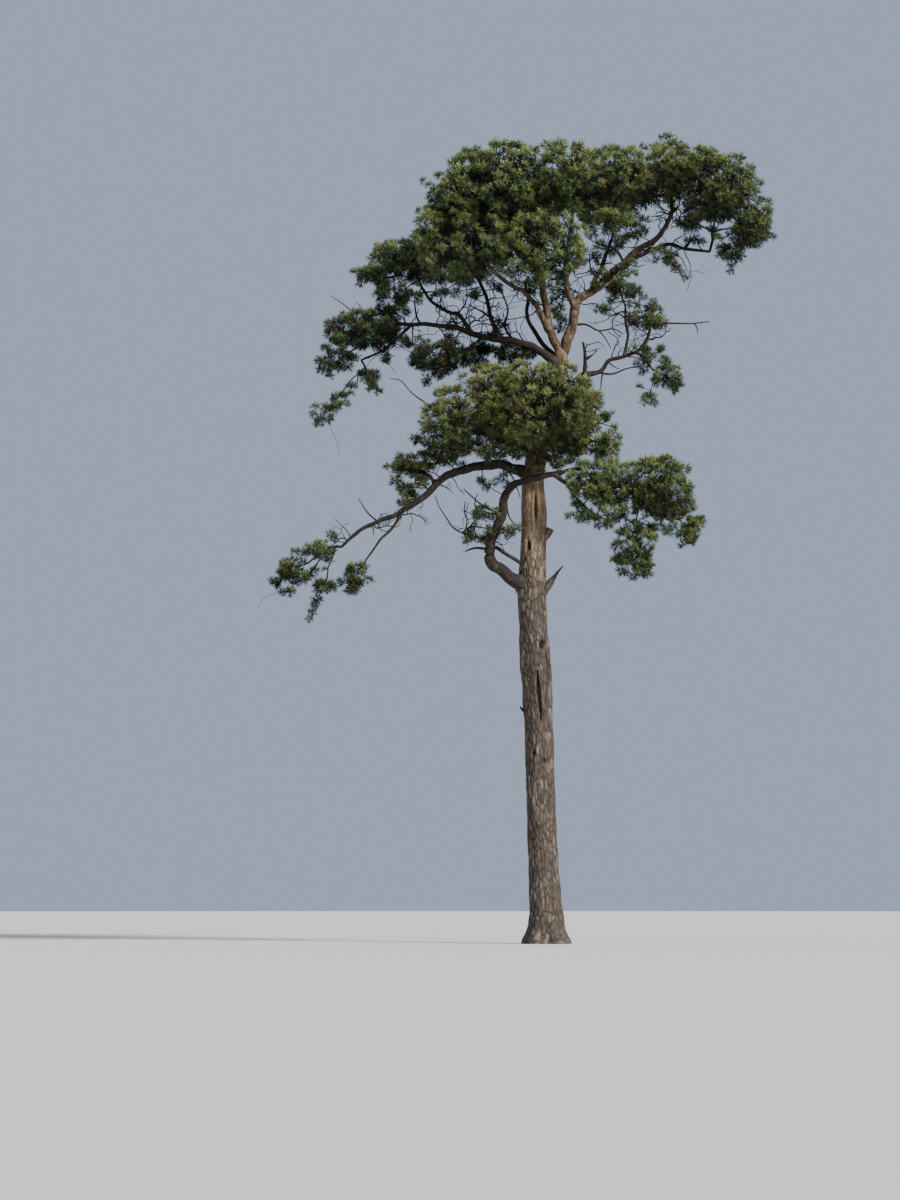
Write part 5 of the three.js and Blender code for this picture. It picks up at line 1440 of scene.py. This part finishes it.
def turned_about_up(vectors, turns):
    """The same vectors once for each turn: an array of turns, vectors, 3."""
    cos, sin = np.cos(turns)[:, None], np.sin(turns)[:, None]
    x, y, z = vectors.T
    return np.stack([x * cos - y * sin, x * sin + y * cos, z + 0 * cos], axis=-1)


def sprays_of(mass, number):
    """For each layer: places, axes, sizes, colours and kinds of its sprays, and the tuft of each."""
    rng = np.random.default_rng(5000 + number)
    found = tufts[mass["name"]]
    rows = []
    for layer, (count, _, _, _) in enumerate(SPRAY_SIZES):
        which = np.array([i for i, tuft in enumerate(found) if tuft[3] == layer], int)
        if not len(which):
            continue
        middle, outward, size = (np.array([found[i][part] for i in which]) for part in range(3))
        ball = turned_about_up(even_directions(count), rng.uniform(0, 2 * math.pi, len(which)))
        ball = unit(ball + rng.normal(0, BALL_SHAKE, ball.shape))
        facing = np.einsum("tsi,ti->ts", ball, outward) + FACING_UP * ball[..., 2]
        kept = (facing > KEPT_FACING) | (layer == HEART)
        reach = TUFT_RADIUS * size[:, None] * rng.uniform(*REACHES, ball.shape[:2])
        place = middle[:, None] + ball * (1, 1, TUFT_FLAT) * reach[..., None]
        axis = unit(ball + outward[:, None] * LEAN_OUT + np.array((0, 0, LEAN_UP)))
        scale = rng.uniform(*SCALES, ball.shape[:2]) * size[:, None]
        # Painted light and shade: lighter on the tops of tufts and of the crown and where a spray faces out,
        # darker in the inner layers and in masses with painted shade.
        light = LAYER_LIGHT[layer] + TUFT_LIGHT * ball[..., 2] + CROWN_LIGHT * outward[:, None, 2]
        light = light + FACING_LIGHT * facing + rng.normal(0, LIGHT_SHAKE, light.shape)
        light = light + rng.normal(0, LIGHT_SHAKE, len(which))[:, None]
        shade = np.searchsorted(SHADE_STEPS, light - mass.get("shade", 0))
        dice = rng.random(light.shape)
        if layer != HEART:
            shade = np.where(dice < BLUISH_SHARE, BLUISH, shade)
            shade = np.where(dice > 1 - mass.get("brown", BROWN_SHARE), BROWN, shade)
        kind = rng.integers(0, KINDS_OF_SPRAY, shade.shape)
        tuft = np.broadcast_to(which[:, None], shade.shape)
        rows.append((layer, place[kept], axis[kept], scale[kept], shade[kept], kind[kept], tuft[kept]))
    return rows


sprays = {mass["name"]: sprays_of(mass, number) for number, mass in enumerate(MASSES + WISPS)}
print("sprays:", sum(len(row[1]) for rows in sprays.values() for row in rows))

# %% [markdown]
# ## Meshes from arrays
# The crown has hundreds of thousands of small faces, so operators would be slow here. The corners
# of all needles of a part of the crown are worked out in one step and given to the mesh as an array,
# and so are the twigs, as thin four-sided prisms between the places of the skeletons.

# %% Joined meshes
CROWN_PARTS = {
    "upper_left": ("top_left_mass",),
    "upper_front": ("front_skirt_mass", "left_front_mass"),
    "upper_middle": ("top_centre_mass", "inner_mass"),
    "upper_right": ("top_right_mass", "right_tip_mass", "right_hang_mass"),
    "upper_back": ("top_back_right_mass", "top_back_left_mass"),
    "left_shoulder": ("top_left_low_mass", "left_shoulder_mass", "left_mid_mass", "left_hang_mass",
                      "under_left_mass"),
    "middle_front": ("mid_left_mass", "mid_front_mass"),
    "middle_back": ("mid_right_mass", "mid_back_mass"),
    "right_side": ("right_high_mass", "right_mid_mass", "right_lower_mass", "lower_right_inner_mass",
                   "lower_right_outer_mass"),
    "low_left": ("long_bough_mass", "tip_left_mass", "tip_left_low_mass", "low_twig_mass",
                 *(wisp["name"] for wisp in WISPS)),
}
SHOOT_RADIUS = 0.004
# The faces of a four-sided prism and of a three-sided spike, by the numbers of their corners.
PRISM = [(0, 1, 5, 4), (1, 2, 6, 5), (2, 3, 7, 6), (3, 0, 4, 7), (3, 2, 1, 0), (4, 5, 6, 7)]
SPIKE = [(0, 1, 3), (1, 2, 3), (2, 0, 3), (2, 1, 0)]


def mesh_from_arrays(name, corners, faces, slots=None):
    """A mesh of faces with equally many corners each."""
    mesh = bpy.data.meshes.new(name)
    mesh.vertices.add(len(corners))
    mesh.vertices.foreach_set("co", corners.ravel())
    mesh.loops.add(faces.size)
    mesh.loops.foreach_set("vertex_index", faces.ravel())
    mesh.polygons.add(len(faces))
    mesh.polygons.foreach_set("loop_start", np.arange(0, faces.size, faces.shape[1]))
    if slots is not None:
        mesh.polygons.foreach_set("material_index", slots)
    mesh.update(calc_edges=True)
    return mesh


def square_to(axes):
    """Two directions square to each axis and to each other."""
    helper = np.where(np.abs(axes[:, 2:]) > 0.9, np.array((1.0, 0, 0)), np.array((0, 0, 1.0)))
    first = unit(np.cross(helper, axes))
    return first, np.cross(axes, first)


def needle_corners(rows):
    """All needle corners and the green of each needle."""
    corners, greens = [], []
    for layer, place, axis, scale, shade, kind, _ in rows:
        first, second = square_to(axis)
        turns = np.stack([first, second, axis], axis=1)
        for which, drawn in enumerate(spray_kinds[layer]):
            chosen = kind == which
            turned = np.einsum("ci,nij->ncj", drawn, turns[chosen])
            corners.append((place[chosen, None] + turned * scale[chosen, None, None]).reshape(-1, 3))
            greens.append(np.repeat(shade[chosen], len(drawn) // 4))
    return np.concatenate(corners), np.concatenate(greens)


def ring_round(starts, ends, sides):
    """Unit steps square to each stretch from start to end, one for each side."""
    first, second = square_to(unit(ends - starts))
    turns = np.arange(sides) * 2 * math.pi / sides
    return first[:, None] * np.cos(turns)[:, None] + second[:, None] * np.sin(turns)[:, None]


def repeated(pattern, count, corners_each):
    """The faces of a form, once for each of its copies."""
    faces = np.array(pattern)[None] + np.arange(count)[:, None, None] * corners_each
    return faces.reshape(-1, len(pattern[0]))


def prisms(starts, ends, r0, r1):
    """Four-sided prisms with closed ends, as corners and faces."""
    ring = ring_round(starts, ends, 4)
    low = starts[:, None] + ring * r0[:, None, None]
    top = ends[:, None] + ring * r1[:, None, None]
    return np.concatenate([low, top], axis=1).reshape(-1, 3), repeated(PRISM, len(starts), 8)


def spikes(starts, ends):
    """Three-sided spikes with a closed foot, as corners and faces."""
    foot = starts[:, None] + ring_round(starts, ends, 3) * SHOOT_RADIUS
    return np.concatenate([foot, ends[:, None]], axis=1).reshape(-1, 3), repeated(SPIKE, len(starts), 4)


def twig_rows(name):
    """The starts, ends and radii of a mass's twig steps."""
    places, parents, radii, _ = skeletons[name]
    before = parents[1:]
    return places[before], places[1:], (radii[before] + radii[1:]) / 2, radii[1:]


def shoot_rows(name):
    """From the end of each tuft's twig to the end of each spray's shoot."""
    places, _, _, ends = skeletons[name]
    feet = [places[ends[tuft]] for *_, tuft in sprays[name]]
    points = [place + axis * SHOOT_LENGTH * scale[:, None] for _, place, axis, scale, *_ in sprays[name]]
    return np.concatenate(feet), np.concatenate(points)


def joined(rows_of, names):
    """The rows of several masses, one after the other."""
    return [np.concatenate(rows) for rows in zip(*map(rows_of, names))]


triangles = 0
solid_names = {mass["name"] for mass in MASSES}
for part, names in CROWN_PARTS.items():
    corners, greens = needle_corners([row for name in names for row in sprays[name]])
    forms = {
        "needles": (corners, np.arange(len(corners)).reshape(-1, 4), greens),
        "twigs": prisms(*joined(twig_rows, names)),
        "shoots": spikes(*joined(shoot_rows, names)),
    }
    for kind, arrays in forms.items():
        mesh = mesh_from_arrays(f"{part}_{kind}", *arrays)
        look = (needle_materials, "foliage") if kind == "needles" else ([twig_bark], "bough_bark")
        finish_piece(f"{part}_{kind}", mesh, *look, [name for name in names if name in solid_names])
        triangles += len(arrays[1]) * (arrays[1].shape[1] - 2)
    print(part, "needles, twigs, shoots:", [len(arrays[1]) for arrays in forms.values()])

starts, ends, r0, r1 = (np.array(rows) for rows in zip(*bare_steps))
bare_mesh = mesh_from_arrays("bare_twigs", *prisms(starts, ends, r0, r1))
finish_piece("bare_twigs", bare_mesh, [twig_bark], "bough_bark")
print("triangles of the foliage:", triangles)
